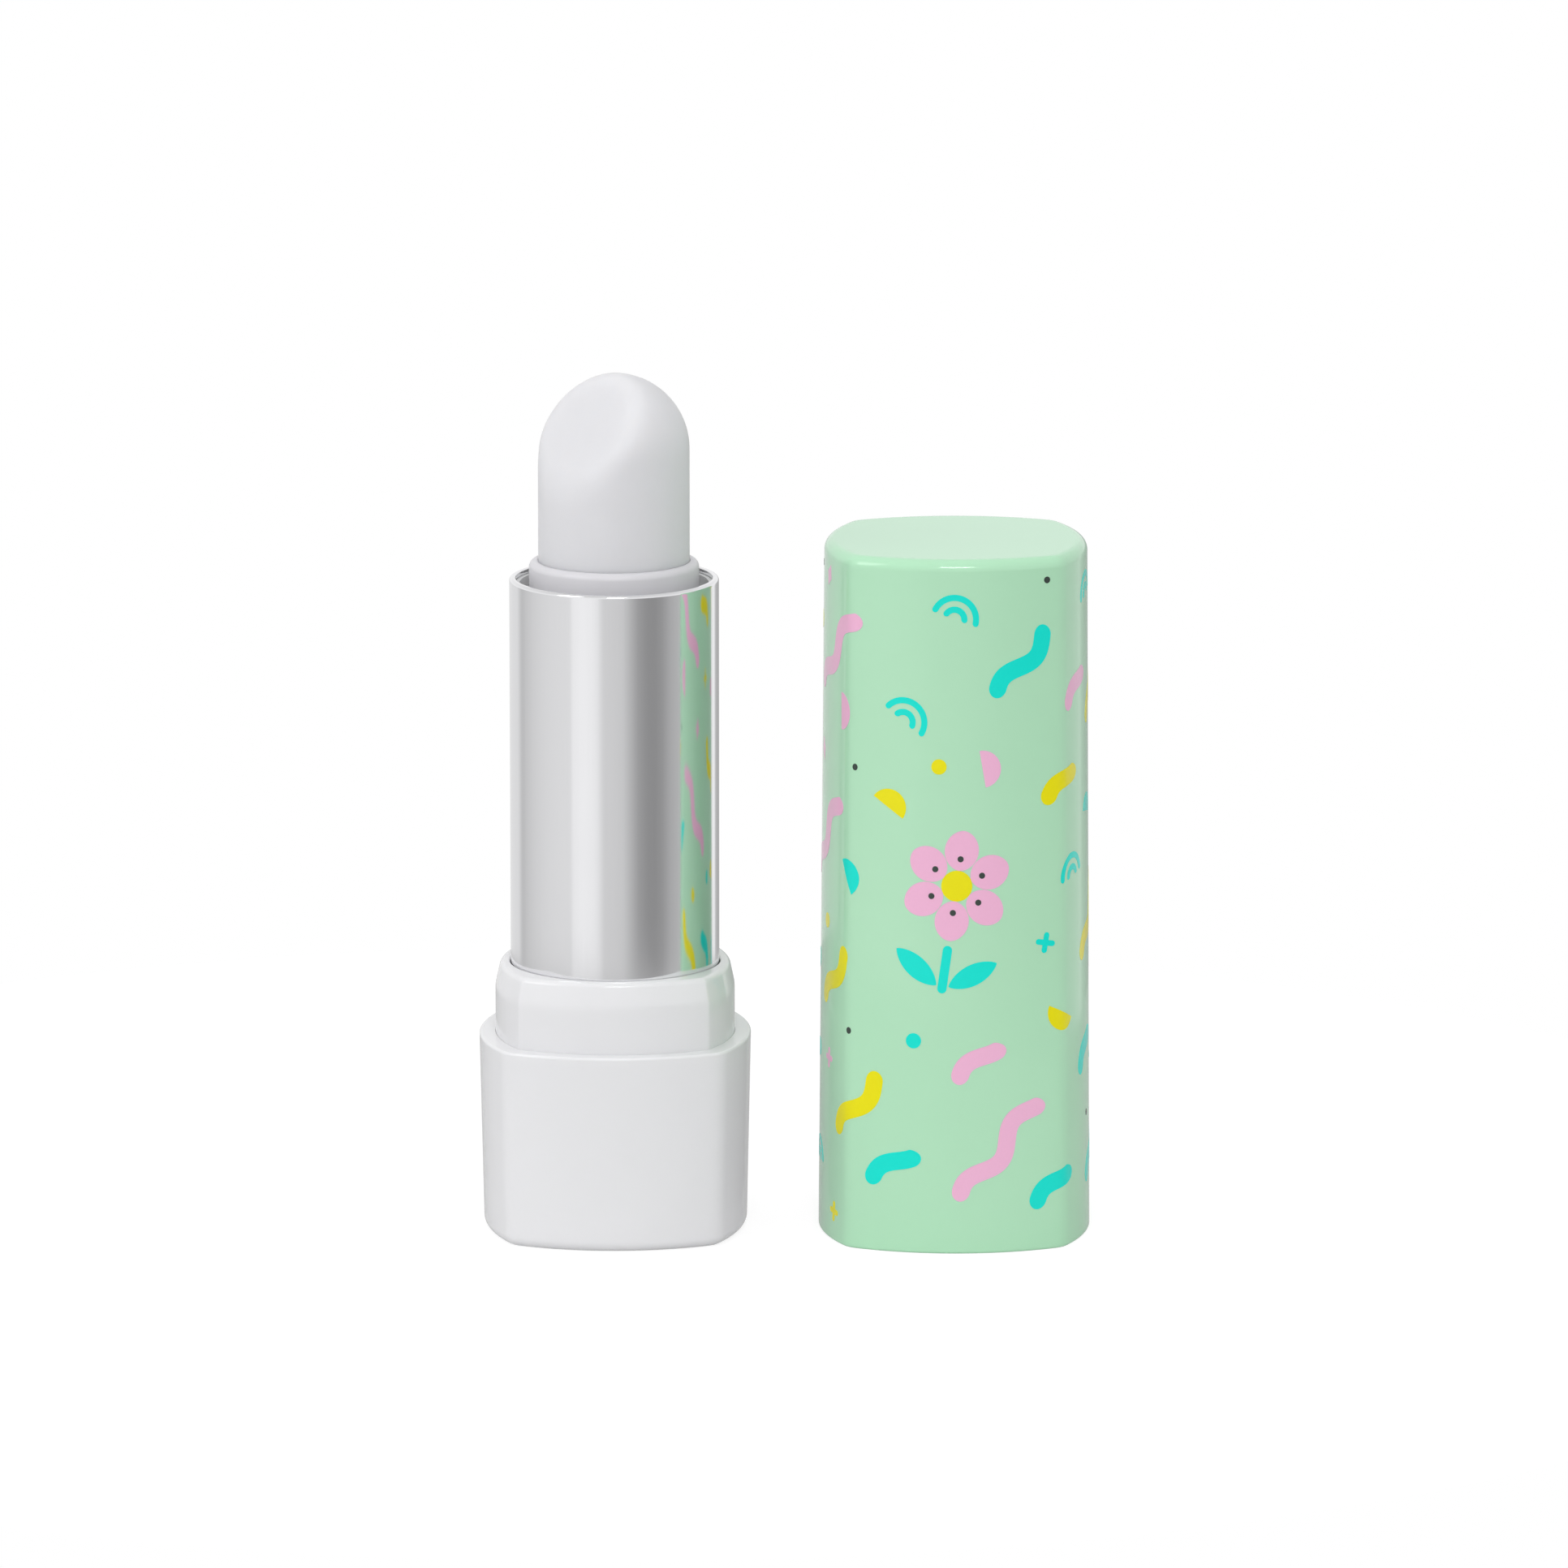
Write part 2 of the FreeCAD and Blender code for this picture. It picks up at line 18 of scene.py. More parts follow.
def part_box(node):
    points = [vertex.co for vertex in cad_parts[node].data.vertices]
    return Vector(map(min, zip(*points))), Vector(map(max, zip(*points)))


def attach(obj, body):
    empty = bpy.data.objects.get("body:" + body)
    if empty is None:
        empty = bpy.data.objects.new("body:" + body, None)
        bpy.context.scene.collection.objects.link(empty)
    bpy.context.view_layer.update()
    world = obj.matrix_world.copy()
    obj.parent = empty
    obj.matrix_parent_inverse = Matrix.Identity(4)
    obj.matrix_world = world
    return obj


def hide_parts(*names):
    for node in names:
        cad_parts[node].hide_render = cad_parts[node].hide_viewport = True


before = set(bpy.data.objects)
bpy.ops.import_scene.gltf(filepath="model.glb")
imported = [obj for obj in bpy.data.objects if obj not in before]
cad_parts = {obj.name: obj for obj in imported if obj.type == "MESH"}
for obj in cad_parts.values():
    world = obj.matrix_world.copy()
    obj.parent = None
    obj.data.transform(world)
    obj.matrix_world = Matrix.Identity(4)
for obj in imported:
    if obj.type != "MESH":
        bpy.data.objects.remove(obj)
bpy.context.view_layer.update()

log = logging.getLogger("lip_balm_stick")

MM = 0.001
RING_STEPS = 256  # round a bowed square, a multiple of 8 so that its corners get a vertex
TURN_STEPS = 192  # round a turned piece
ARC_STEP = math.radians(7.5)  # widest step round a fillet
ARC_CHORD = 0.25  # longest chord of a fillet
HOLD = 0.06  # distance of the loops that hold a flat face flat beside a fillet
HOLD_ROOM = 3 * HOLD  # length that a face needs between its fillets for such loops
SHARP_ANGLE = math.radians(26)  # edges that turn by more than this are shaded crisp
MERGE = 1e-4  # vertices closer than this are one
NUDGE = 0.01  # share of a path before and after a place, from which its direction is read
NOISE_RANGE = (0.3, 0.7)  # where most of a noise's values lie
SCREEN_WHITE = 255
SRGB_TOE, SRGB_SLOPE = 0.04045, 12.92  # the straight start of the sRGB curve
SRGB_OFFSET, SRGB_POWER = 0.055, 2.4  # and the rest of it
PLASTIC_IOR, WAX_IOR = 1.5, 1.44
QUARTER = math.pi / 2

Colour = tuple[float, float, float, float]
Pair = tuple[float, float]
Triple = tuple[float, float, float]
Feeds = dict[str | int, object]


@dataclass(frozen=True)
class Circle:
    """Round outline about the piece's axis."""

    half: float

    def reach(self, angle: float) -> float:
        """Distance from the axis to the outline in one direction."""
        return self.half

    def inset(self, depth: float) -> "Circle":
        """The same outline drawn in by a depth."""
        return Circle(self.half - depth)


@dataclass(frozen=True)
class BowedSquare:
    """Square outline with bowed sides and round or crisp corners."""

    half: float
    side_radius: float
    corner_radius: float = 0.0

    @property
    def setback(self) -> float:
        """Distance of a side arc's centre behind the axis."""
        return self.side_radius - self.half

    @property
    def corner_place(self) -> float:
        """Both coordinates of a corner arc's centre."""
        across = 2 * (self.side_radius - self.corner_radius) ** 2 - self.setback**2
        return (math.sqrt(across) - self.setback) / 2

    @property
    def swing(self) -> float:
        """Half the angle of a side arc."""
        return math.atan2(self.corner_place, self.corner_place + self.setback)

    @property
    def side_run(self) -> float:
        """Length of half a side arc."""
        return self.side_radius * self.swing

    @property
    def quarter_run(self) -> float:
        """Length of one side and one corner."""
        return 2 * self.side_run + self.corner_radius * (QUARTER - 2 * self.swing)

    def reach(self, angle: float) -> float:
        """Distance from the axis to the outline in one direction.

        Args:
            angle: Direction, counted from the +X axis.

        Returns:
            The distance, in the outline's own unit.
        """
        folded = abs((angle + QUARTER / 2) % QUARTER - QUARTER / 2)
        side_end = math.atan2(
            self.side_radius * math.sin(self.swing),
            self.side_radius * math.cos(self.swing) - self.setback,
        )
        if folded <= side_end:
            offset = self.setback * math.sin(folded)
            return math.sqrt(self.side_radius**2 - offset**2) - self.setback * math.cos(folded)
        along = self.corner_place * (math.cos(folded) + math.sin(folded))
        beyond = along**2 - 2 * self.corner_place**2 + self.corner_radius**2
        return along + math.sqrt(max(beyond, 0.0))

    def inset(self, depth: float) -> "BowedSquare":
        """The same outline drawn in by a depth.

        Args:
            depth: How far each side moves towards the axis.

        Returns:
            The smaller outline.
        """
        corner = max(self.corner_radius - depth, 0.0) if self.corner_radius else 0.0
        return BowedSquare(self.half - depth, self.side_radius - depth, corner)

    def follow(self, run: float) -> tuple[Vector, Vector]:
        """Find a place on the outline by its length from the middle of the front side.

        Args:
            run: Length along the outline, to the right as seen from outside.

        Returns:
            The point and the outward normal.
        """
        quarter, local = divmod(run + self.side_run, self.quarter_run)
        local -= self.side_run
        if local <= self.side_run:
            angle = local / self.side_radius
            middle, radius = Vector((-self.setback, 0, 0)), self.side_radius
        else:
            angle = self.swing + (local - self.side_run) / self.corner_radius
            middle, radius = Vector((self.corner_place, self.corner_place, 0)), self.corner_radius
        normal = Vector((math.cos(angle), math.sin(angle), 0))
        turn = Matrix.Rotation((quarter - 1) * QUARTER, 3, "Z")
        return turn @ (middle + normal * radius), turn @ normal


Outline = Circle | BowedSquare


@dataclass(frozen=True)
class Corner:
    """Corner of a cross-section, with the outline that the section is carried round there."""

    across: float
    up: float
    radius: float = 0.0
    outline: Outline | None = None

    @property
    def spot(self) -> Vector:
        """Place of the corner in the section's plane."""
        return Vector((self.across, self.up))


@dataclass(frozen=True)
class Station:
    """Place on a cross-section after its corners are rounded."""

    across: float
    up: float
    outline: Outline | None

    def place(self, angle: float) -> Vector:
        """Point of this station in one direction round the axis, in metres."""
        reach = self.across
        if self.outline and self.across:
            reach = self.outline.inset(self.outline.half - self.across).reach(angle)
        return Vector((reach * math.cos(angle), reach * math.sin(angle), self.up)) * MM


def round_corner(before: Corner, corner: Corner, after: Corner) -> list[Vector]:
    """Round one corner of a section with an arc.

    Args:
        before: The section's previous corner.
        corner: The corner itself.
        after: The section's next corner.

    Returns:
        The points that take the corner's place, with the loops that hold its neighbours flat.
    """
    back, ahead = before.spot - corner.spot, after.spot - corner.spot
    turn = math.pi - back.angle(ahead)
    trim = corner.radius * math.tan(turn / 2)
    room_back = back.length - trim - before.radius
    room_ahead = ahead.length - trim - after.radius
    back.normalize()
    ahead.normalize()
    middle = corner.spot + (back + ahead).normalized() * corner.radius / math.cos(turn / 2)
    spoke = corner.spot + back * trim - middle
    sense = 1 if back.cross(ahead) < 0 else -1
    steps = max(math.ceil(turn / ARC_STEP), math.ceil(corner.radius * turn / ARC_CHORD))
    points = [middle + Matrix.Rotation(sense * turn * step / steps, 2) @ spoke for step in range(steps + 1)]
    if room_back > HOLD_ROOM:
        points.insert(0, corner.spot + back * (trim + HOLD))
    if room_ahead > HOLD_ROOM:
        points.append(corner.spot + ahead * (trim + HOLD))
    return points


def draw_section(corners: Sequence[Corner]) -> list[Station]:
    """Turn the corners of a section into the stations that its surface passes through.

    Args:
        corners: Corners in order. A section that starts off the axis is closed on itself.

    Returns:
        The stations in the same order.
    """
    stations: list[Station] = []
    for index, corner in enumerate(corners):
        points = [corner.spot]
        if corner.radius:
            points = round_corner(corners[index - 1], corner, corners[(index + 1) % len(corners)])
        stations += [Station(point.x, point.y, corner.outline) for point in points]
    return stations + stations[:1] if corners[0].across else stations


def turn_section(corners: Sequence[Corner]) -> bmesh.types.BMesh:
    """Spin a section about the axis.

    Args:
        corners: Corners of the section, which starts and ends on the axis or is a closed ring.

    Returns:
        The turned mesh.
    """
    mesh = bmesh.new()
    stations = draw_section(corners)
    last = mesh.verts.new(stations[0].place(0.0))
    for station in stations[1:]:
        last = bmesh.ops.extrude_vert_indiv(mesh, verts=[last])["verts"][0]
        last.co = station.place(0.0)
    bmesh.ops.spin(
        mesh,
        geom=[*mesh.verts, *mesh.edges],
        cent=(0, 0, 0),
        axis=(0, 0, 1),
        angle=2 * math.pi,
        steps=TURN_STEPS,
        use_merge=True,
    )
    return clean(mesh)


def grow_ring(mesh: bmesh.types.BMesh, edges: Sequence[bmesh.types.BMEdge]) -> list[bmesh.types.BMEdge]:
    """Extrude a ring of edges, ready to be moved.

    Args:
        mesh: Mesh that holds the ring.
        edges: Edges of the ring.

    Returns:
        Edges of the new ring.
    """
    made = bmesh.ops.extrude_edge_only(mesh, edges=edges)["geom"]
    return [item for item in made if isinstance(item, bmesh.types.BMEdge) and item.is_boundary]


def ring_verts(edges: Sequence[bmesh.types.BMEdge]) -> list[bmesh.types.BMVert]:
    """Vertices of a ring of edges, each once."""
    return list(dict.fromkeys(vert for edge in edges for vert in edge.verts))


def sweep_section(corners: Sequence[Corner]) -> bmesh.types.BMesh:
    """Carry a section round its outlines, ring by ring.

    Args:
        corners: Corners of the section, which starts and ends on the axis or is a closed ring.

    Returns:
        The swept mesh.
    """
    mesh = bmesh.new()
    stations = draw_section(corners)
    bmesh.ops.create_circle(mesh, segments=RING_STEPS, radius=1.0)
    first = ring = list(mesh.edges)
    for index, station in enumerate(item for item in stations if item.across):
        if index:
            ring = grow_ring(mesh, ring)
        for vert in ring_verts(ring):
            vert.co = station.place(math.atan2(vert.co.y, vert.co.x))
    for end, edges in ((stations[0], first), (stations[-1], ring)):
        if not end.across:
            verts = ring_verts(grow_ring(mesh, edges))
            bmesh.ops.pointmerge(mesh, verts=verts, merge_co=end.place(0.0))
    return clean(mesh)


def clean(mesh: bmesh.types.BMesh) -> bmesh.types.BMesh:
    """Merge doubled vertices and turn the faces outwards.

    Args:
        mesh: Mesh to clean.

    Returns:
        The same mesh.
    """
    bmesh.ops.remove_doubles(mesh, verts=mesh.verts, dist=MERGE * MM)
    bmesh.ops.dissolve_degenerate(mesh, edges=mesh.edges, dist=MERGE * MM)
    bmesh.ops.recalc_face_normals(mesh, faces=mesh.faces)
    return mesh


def new_object(
    mesh: bmesh.types.BMesh,
    name: str,
    material: bpy.types.Material,
) -> bpy.types.Object:
    """Put a mesh into the scene.

    Args:
        mesh: Mesh in the part's frame, which is freed.
        name: Name of the object.
        material: Its material.

    Returns:
        The object.
    """
    data = bpy.data.meshes.new(name)
    mesh.to_mesh(data)
    mesh.free()
    data.materials.append(material)
    made = bpy.data.objects.new(name, data)
    bpy.context.scene.collection.objects.link(made)
    return made


def add_piece(
    mesh: bmesh.types.BMesh,
    name: str,
    body: str,
    material: bpy.types.Material,
) -> bpy.types.Object:
    """Make a piece of a mesh, shaded smooth but for its crisp edges, that rides on a body.

    Args:
        mesh: Mesh in the part's frame, which is freed.
        name: Name of the piece.
        body: Body that it moves with.
        material: Its material.

    Returns:
        The piece.
    """
    for face in mesh.faces:
        face.smooth = True
    for edge in mesh.edges:
        edge.smooth = len(edge.link_faces) == 2 and edge.calc_face_angle() < SHARP_ANGLE
    piece = new_object(mesh, name, material)
    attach(piece, body)
    log.info("%s: %d faces on body %s", name, len(piece.data.polygons), body)
    return piece


def stand_for(piece: bpy.types.Object, node: str) -> None:
    """Show a piece in place of a CAD node by hiding the node.

    Args:
        piece: Modelled piece; not used.
        node: CAD node that it replaces.
    """
    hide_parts(node)


def linear(red: int, green: int, blue: int) -> Colour:
    """Colour for a shader from the 8-bit values that a screen shows.

    Args:
        red: Red, 0 to 255.
        green: Green, 0 to 255.
        blue: Blue, 0 to 255.

    Returns:
        Linear red, green, blue and full opacity.
    """
    parts = []
    for value in (red, green, blue):
        share = value / SCREEN_WHITE
        curved = ((share + SRGB_OFFSET) / (1 + SRGB_OFFSET)) ** SRGB_POWER
        parts.append(share / SRGB_SLOPE if share <= SRGB_TOE else curved)
    return (*parts, 1.0)


def shade(colour: Colour, share: float) -> Colour:
    """A colour darkened to a share of its light."""
    return (*(part * share for part in colour[:3]), 1.0)


def grey(level: float) -> Colour:
    """Neutral colour of a linear level."""
    return (level, level, level, 1.0)


class NodeSheet:
    """Node tree that is written from its sources to its output."""

    def __init__(self, tree: bpy.types.NodeTree) -> None:
        """Take over a tree and empty it.

        Args:
            tree: Node tree of a material or of the world.
        """
        self.tree = tree
        tree.nodes.clear()

    def add(self, kind: str, feeds: Feeds | None = None, **settings: object) -> bpy.types.Node:
        """Add a node.

        Args:
            kind: Type of the node.
            feeds: Source socket or constant of each input, by the input's name or number.
            settings: Properties of the node.

        Returns:
            The node.
        """
        node = self.tree.nodes.new(kind)
        for name, value in settings.items():
            setattr(node, name, value)
        for name, value in (feeds or {}).items():
            if isinstance(value, bpy.types.NodeSocket):
                self.tree.links.new(value, node.inputs[name])
            else:
                node.inputs[name].default_value = value
        return node

    def noise(self, size: Triple, detail: float = 3.0) -> bpy.types.NodeSocket:
        """Add a noise on the object's own coordinates.

        Args:
            size: Grain along X, Y and Z, in millimetres.
            detail: Octaves of finer grain.

        Returns:
            The noise's value, 0 to 1.
        """
        place = self.add("ShaderNodeTexCoord").outputs["Object"]
        scale = [1 / (grain * MM) for grain in size]
        spread = self.add("ShaderNodeMapping", {"Vector": place, "Scale": scale}).outputs["Vector"]
        feeds = {"Vector": spread, "Scale": 1.0, "Detail": detail}
        return self.add("ShaderNodeTexNoise", feeds).outputs["Fac"]

    def between(self, value: bpy.types.NodeSocket, start: Pair, end: Pair) -> bpy.types.NodeSocket:
        """Carry a value from one range to another, held at its ends.

        Args:
            value: Value to carry.
            start: Range that it comes from.
            end: Range that it goes to.

        Returns:
            The carried value.
        """
        feeds = {
            "Value": value,
            "From Min": start[0],
            "From Max": start[1],
            "To Min": end[0],
            "To Max": end[1],
        }
        return self.add("ShaderNodeMapRange", feeds).outputs["Result"]

    def blend(self, share: bpy.types.NodeSocket, first: Colour, second: Colour) -> bpy.types.NodeSocket:
        """Mix two colours by a share.

        Args:
            share: 0 for the first colour, 1 for the second.
            first: First colour.
            second: Second colour.

        Returns:
            The mixed colour.
        """
        mix = self.add("ShaderNodeMix", {"Factor": share}, data_type="RGBA")
        pair = [socket for socket in mix.inputs if socket.type == "RGBA"]
        for socket, colour in zip(pair, (first, second)):
            socket.default_value = colour
        return next(socket for socket in mix.outputs if socket.type == "RGBA")

    def bump(self, heights: Iterable[tuple[bpy.types.NodeSocket, float]]) -> bpy.types.NodeSocket:
        """Chain bumps into one normal.

        Args:
            heights: Noise and depth in millimetres of each bump, at least one.

        Returns:
            The normal.
        """
        normal = None
        for height, depth in heights:
            feeds = {"Strength": 1.0, "Distance": depth * MM, "Height": height}
            if normal:
                feeds["Normal"] = normal
            normal = self.add("ShaderNodeBump", feeds).outputs["Normal"]
        return normal

    def by_ray(
        self, lit: bpy.types.Node, mirrored: bpy.types.Node, seen: bpy.types.Node
    ) -> bpy.types.NodeSocket:
        """Choose a shader by the ray that meets it.

        Args:
            lit: Shader that lights the object.
            mirrored: Shader that glossy pieces mirror.
            seen: Shader that the camera sees, also through clear pieces.

        Returns:
            The chosen shader.
        """
        rays = self.add("ShaderNodeLightPath").outputs
        direct = {0: rays["Is Camera Ray"], 1: rays["Is Transmission Ray"]}
        share = self.add("ShaderNodeMath", direct, operation="MAXIMUM").outputs[0]
        unseen = {0: rays["Is Glossy Ray"], 1: lit.outputs[0], 2: mirrored.outputs[0]}
        rest = self.add("ShaderNodeMixShader", unseen).outputs[0]
        return self.add("ShaderNodeMixShader", {0: share, 1: rest, 2: seen.outputs[0]}).outputs[0]


def new_material(name: str) -> tuple[bpy.types.Material, NodeSheet]:
    """Start a material with an empty node tree."""
    material = bpy.data.materials.new(name)
    material.use_nodes = True
    return material, NodeSheet(material.node_tree)


@dataclass(frozen=True)
class Finish:
    """Named surface of a piece. Each kind of surface writes its own shader inputs."""

    name: str
    colour: Colour

    def inputs(self, sheet: NodeSheet) -> Feeds:
        """Inputs of the Principled shader, written onto a sheet."""
        raise NotImplementedError

    def make(self) -> bpy.types.Material:
        """Build the material."""
        material, sheet = new_material(self.name)
        shader = sheet.add("ShaderNodeBsdfPrincipled", self.inputs(sheet))
        sheet.add("ShaderNodeOutputMaterial", {"Surface": shader.outputs["BSDF"]})
        return material


@dataclass(frozen=True)
class MouldedPlastic(Finish):
    """Moulded plastic: faint cloudiness, fine grain in its gloss and a soft flow ripple."""

    gloss: Pair = (0.07, 0.11)
    cloud_shade: float = 0.985
    glow: float = 0.1
    glow_depth: float = 0.8
    glow_reach: Triple = (1.0, 1.0, 0.9)
    ripple_size: Triple = (5.0, 5.0, 10.0)
    ripple_depth: float = 0.003
    grain_size: Triple = (0.12, 0.12, 0.12)
    grain_depth: float = 0.0004

    def inputs(self, sheet: NodeSheet) -> Feeds:
        """Inputs of the Principled shader."""
        grain = sheet.noise(self.grain_size)
        ripple = sheet.noise(self.ripple_size, detail=1.0)
        return {
            "Base Color": sheet.blend(ripple, shade(self.colour, self.cloud_shade), self.colour),
            "Roughness": sheet.between(grain, NOISE_RANGE, self.gloss),
            "Normal": sheet.bump([(ripple, self.ripple_depth), (grain, self.grain_depth)]),
            "IOR": PLASTIC_IOR,
            "Subsurface Weight": self.glow,
            "Subsurface Scale": self.glow_depth * MM,
            "Subsurface Radius": self.glow_reach,
        }


@dataclass(frozen=True)
class CastWax(Finish):
    """Cast balm: translucent, softly mottled, with a dull skin and shallow waves from the mould."""

    gloss: Pair = (0.46, 0.6)
    glow: float = 0.7
    glow_depth: float = 3.0
    glow_reach: Triple = (1.0, 0.95, 0.9)
    mottle_shade: float = 0.97
    mottle_size: Triple = (1.6, 1.6, 2.6)
    mottle_depth: float = 0.008
    skin_size: Triple = (0.16, 0.16, 0.16)
    skin_depth: float = 0.0016
    wave_size: Triple = (4.5, 4.5, 6.0)
    wave_depth: float = 0.12

    def inputs(self, sheet: NodeSheet) -> Feeds:
        """Inputs of the Principled shader."""
        mottle = sheet.noise(self.mottle_size)
        skin = sheet.noise(self.skin_size, detail=4.0)
        wave = sheet.noise(self.wave_size, detail=1.0)
        bumps = [(wave, self.wave_depth), (mottle, self.mottle_depth), (skin, self.skin_depth)]
        return {
            "Base Color": sheet.blend(mottle, shade(self.colour, self.mottle_shade), self.colour),
            "Roughness": sheet.between(skin, NOISE_RANGE, self.gloss),
            "Normal": sheet.bump(bumps),
            "IOR": WAX_IOR,
            "Subsurface Weight": self.glow,
            "Subsurface Scale": self.glow_depth * MM,
            "Subsurface Radius": self.glow_reach,
        }


@dataclass(frozen=True)
class PolishedMetal(Finish):
    """Polished drawn tube: mirror-like, with faint lines along the draw."""

    gloss: Pair = (0.09, 0.13)
    line_shade: float = 0.97
    line_size: Triple = (0.07, 0.07, 9.0)
    line_depth: float = 0.00006
    haze_size: Triple = (2.2, 2.2, 5.0)

    def inputs(self, sheet: NodeSheet) -> Feeds:
        """Inputs of the Principled shader."""
        lines = sheet.noise(self.line_size, detail=2.0)
        haze = sheet.noise(self.haze_size, detail=2.0)
        return {
            "Base Color": sheet.blend(lines, shade(self.colour, self.line_shade), self.colour),
            "Metallic": 1.0,
            "Roughness": sheet.between(haze, NOISE_RANGE, self.gloss),
            "Normal": sheet.bump([(lines, self.line_depth)]),
        }


@dataclass(frozen=True)
class SoftRubber(Finish):
    """Soft moulded ring: dull and slightly dusty."""

    gloss: Pair = (0.55, 0.7)
    dust_shade: float = 0.9
    dust_size: Triple = (0.3, 0.3, 0.3)
    dust_depth: float = 0.003

    def inputs(self, sheet: NodeSheet) -> Feeds:
        """Inputs of the Principled shader."""
        dust = sheet.noise(self.dust_size)
        return {
            "Base Color": sheet.blend(dust, shade(self.colour, self.dust_shade), self.colour),
            "Roughness": sheet.between(dust, NOISE_RANGE, self.gloss),
            "Normal": sheet.bump([(dust, self.dust_depth)]),
        }


@dataclass(frozen=True)
class PrintInk(Finish):
    """Screen-printed ink with a faint grain from the screen."""

    gloss: Pair = (0.14, 0.22)
    mirror_level: float = 0.3
    grain_shade: float = 0.96
    grain_size: Triple = (0.2, 0.2, 0.2)
    grain_depth: float = 0.0006

    def inputs(self, sheet: NodeSheet) -> Feeds:
        """Inputs of the Principled shader."""
        grain = sheet.noise(self.grain_size)
        return {
            "Base Color": sheet.blend(grain, shade(self.colour, self.grain_shade), self.colour),
            "Roughness": sheet.between(grain, NOISE_RANGE, self.gloss),
            "Normal": sheet.bump([(grain, self.grain_depth)]),
            "IOR": PLASTIC_IOR,
            "Specular IOR Level": self.mirror_level,
        }


@dataclass
class Base:
    """White base cup and the collar that stands out of it and takes the cap."""

    side_radius: float = 18.0
    corner_radius: float = 2.2
    draw: float = 0.34
    foot_round: float = 0.9
    edge_round: float = 0.22
    floor: float = 1.6
    cavity_gap: float = 0.01
    cavity_edge: float = 0.03
    collar_side_radius: float = 15.1
    collar_round: float = 0.5
    collar_foot_round: float = 0.1
    lead_in_height: float = 1.95
    lead_in_width: float = 0.42
    lead_in_round: float = 3.0
    mouth_chamfer: float = 0.1
    mouth_round: float = 0.04
    corner_bevel: float = 0.13
    tube_gap: float = 0.06
    lip_radius: float = 8.15
    lip_levels: Pair = (15.2, 17.0)
    chamber_radius: float = 8.9
    base_finish: Finish = MouldedPlastic("base_white", linear(229, 229, 231))
    collar_finish: Finish = MouldedPlastic("collar_white", linear(228, 228, 230))

    def __post_init__(self) -> None:
        """Read the places of the two pieces from the frame."""
        _, high = (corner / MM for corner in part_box("base_shell"))
        self.top = high.z
        self.outside = BowedSquare(high.x, self.side_radius, self.corner_radius)
        low, high = (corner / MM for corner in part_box("collar"))
        self.collar_foot, self.collar_top = low.z, high.z
        self.collar_outside = BowedSquare(high.x, self.collar_side_radius)
        self.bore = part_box("tube_shell")[1].x / MM + self.tube_gap

    def build_shell(self) -> None:
        """Model the base cup, drawn in towards its foot."""
        outside, cavity = self.outside, self.collar_outside.inset(-self.cavity_gap)
        mesh = sweep_section([
            Corner(0, 0),
            Corner(outside.half - self.draw, 0, self.foot_round, outside),
            Corner(outside.half, self.top, self.edge_round, outside),
            Corner(cavity.half, self.top, self.cavity_edge, cavity),
            Corner(cavity.half, self.floor, 0, cavity),
            Corner(0, self.floor),
        ])
        shell = add_piece(mesh, "base_cup", "base", self.base_finish.make())
        stand_for(shell, "base_shell")

    def build_collar(self) -> None:
        """Model the collar, with slightly broken corner edges."""
        side, bore = self.collar_outside, Circle(self.bore)
        shoulder = self.collar_top - self.lead_in_height
        lip_foot, lip_top = self.lip_levels
        mesh = sweep_section([
            Corner(self.chamber_radius, self.collar_foot, 0, bore),
            Corner(side.half, self.collar_foot, self.collar_foot_round, side),
            Corner(side.half, shoulder, self.lead_in_round, side),
            Corner(side.half - self.lead_in_width, self.collar_top, self.collar_round, side),
            Corner(self.bore + self.mouth_chamfer, self.collar_top, self.mouth_round, bore),
            Corner(self.bore, self.collar_top - self.mouth_chamfer, self.mouth_round, bore),
            Corner(self.bore, lip_top, 0, bore),
            Corner(self.lip_radius, lip_top, 0, bore),
            Corner(self.lip_radius, lip_foot, 0, bore),
            Corner(self.chamber_radius, lip_foot, 0, bore),
        ])
        bmesh.ops.bevel(
            mesh,
            geom=[edge for edge in mesh.edges if self.is_corner_edge(edge)],
            offset=self.corner_bevel * MM,
            offset_type="OFFSET",
            affect="EDGES",
            segments=3,
            profile=0.5,
            material=-1,
        )
        collar = add_piece(clean(mesh), "cap_collar", "base", self.collar_finish.make())
        stand_for(collar, "collar")

    def is_corner_edge(self, edge: bmesh.types.BMEdge) -> bool:
        """Whether an edge runs up one of the collar's outer corners.

        Args:
            edge: Edge of the collar's mesh.

        Returns:
            True on a corner line above the foot and below the top.
        """
        for vert in edge.verts:
            level = vert.co.z / MM
            on_diagonal = abs(abs(vert.co.x) - abs(vert.co.y)) < MERGE * MM
            outside = vert.co.xy.length / MM > self.collar_outside.half
            if not on_diagonal or not outside or not self.collar_foot < level < self.collar_top:
                return False
        return True


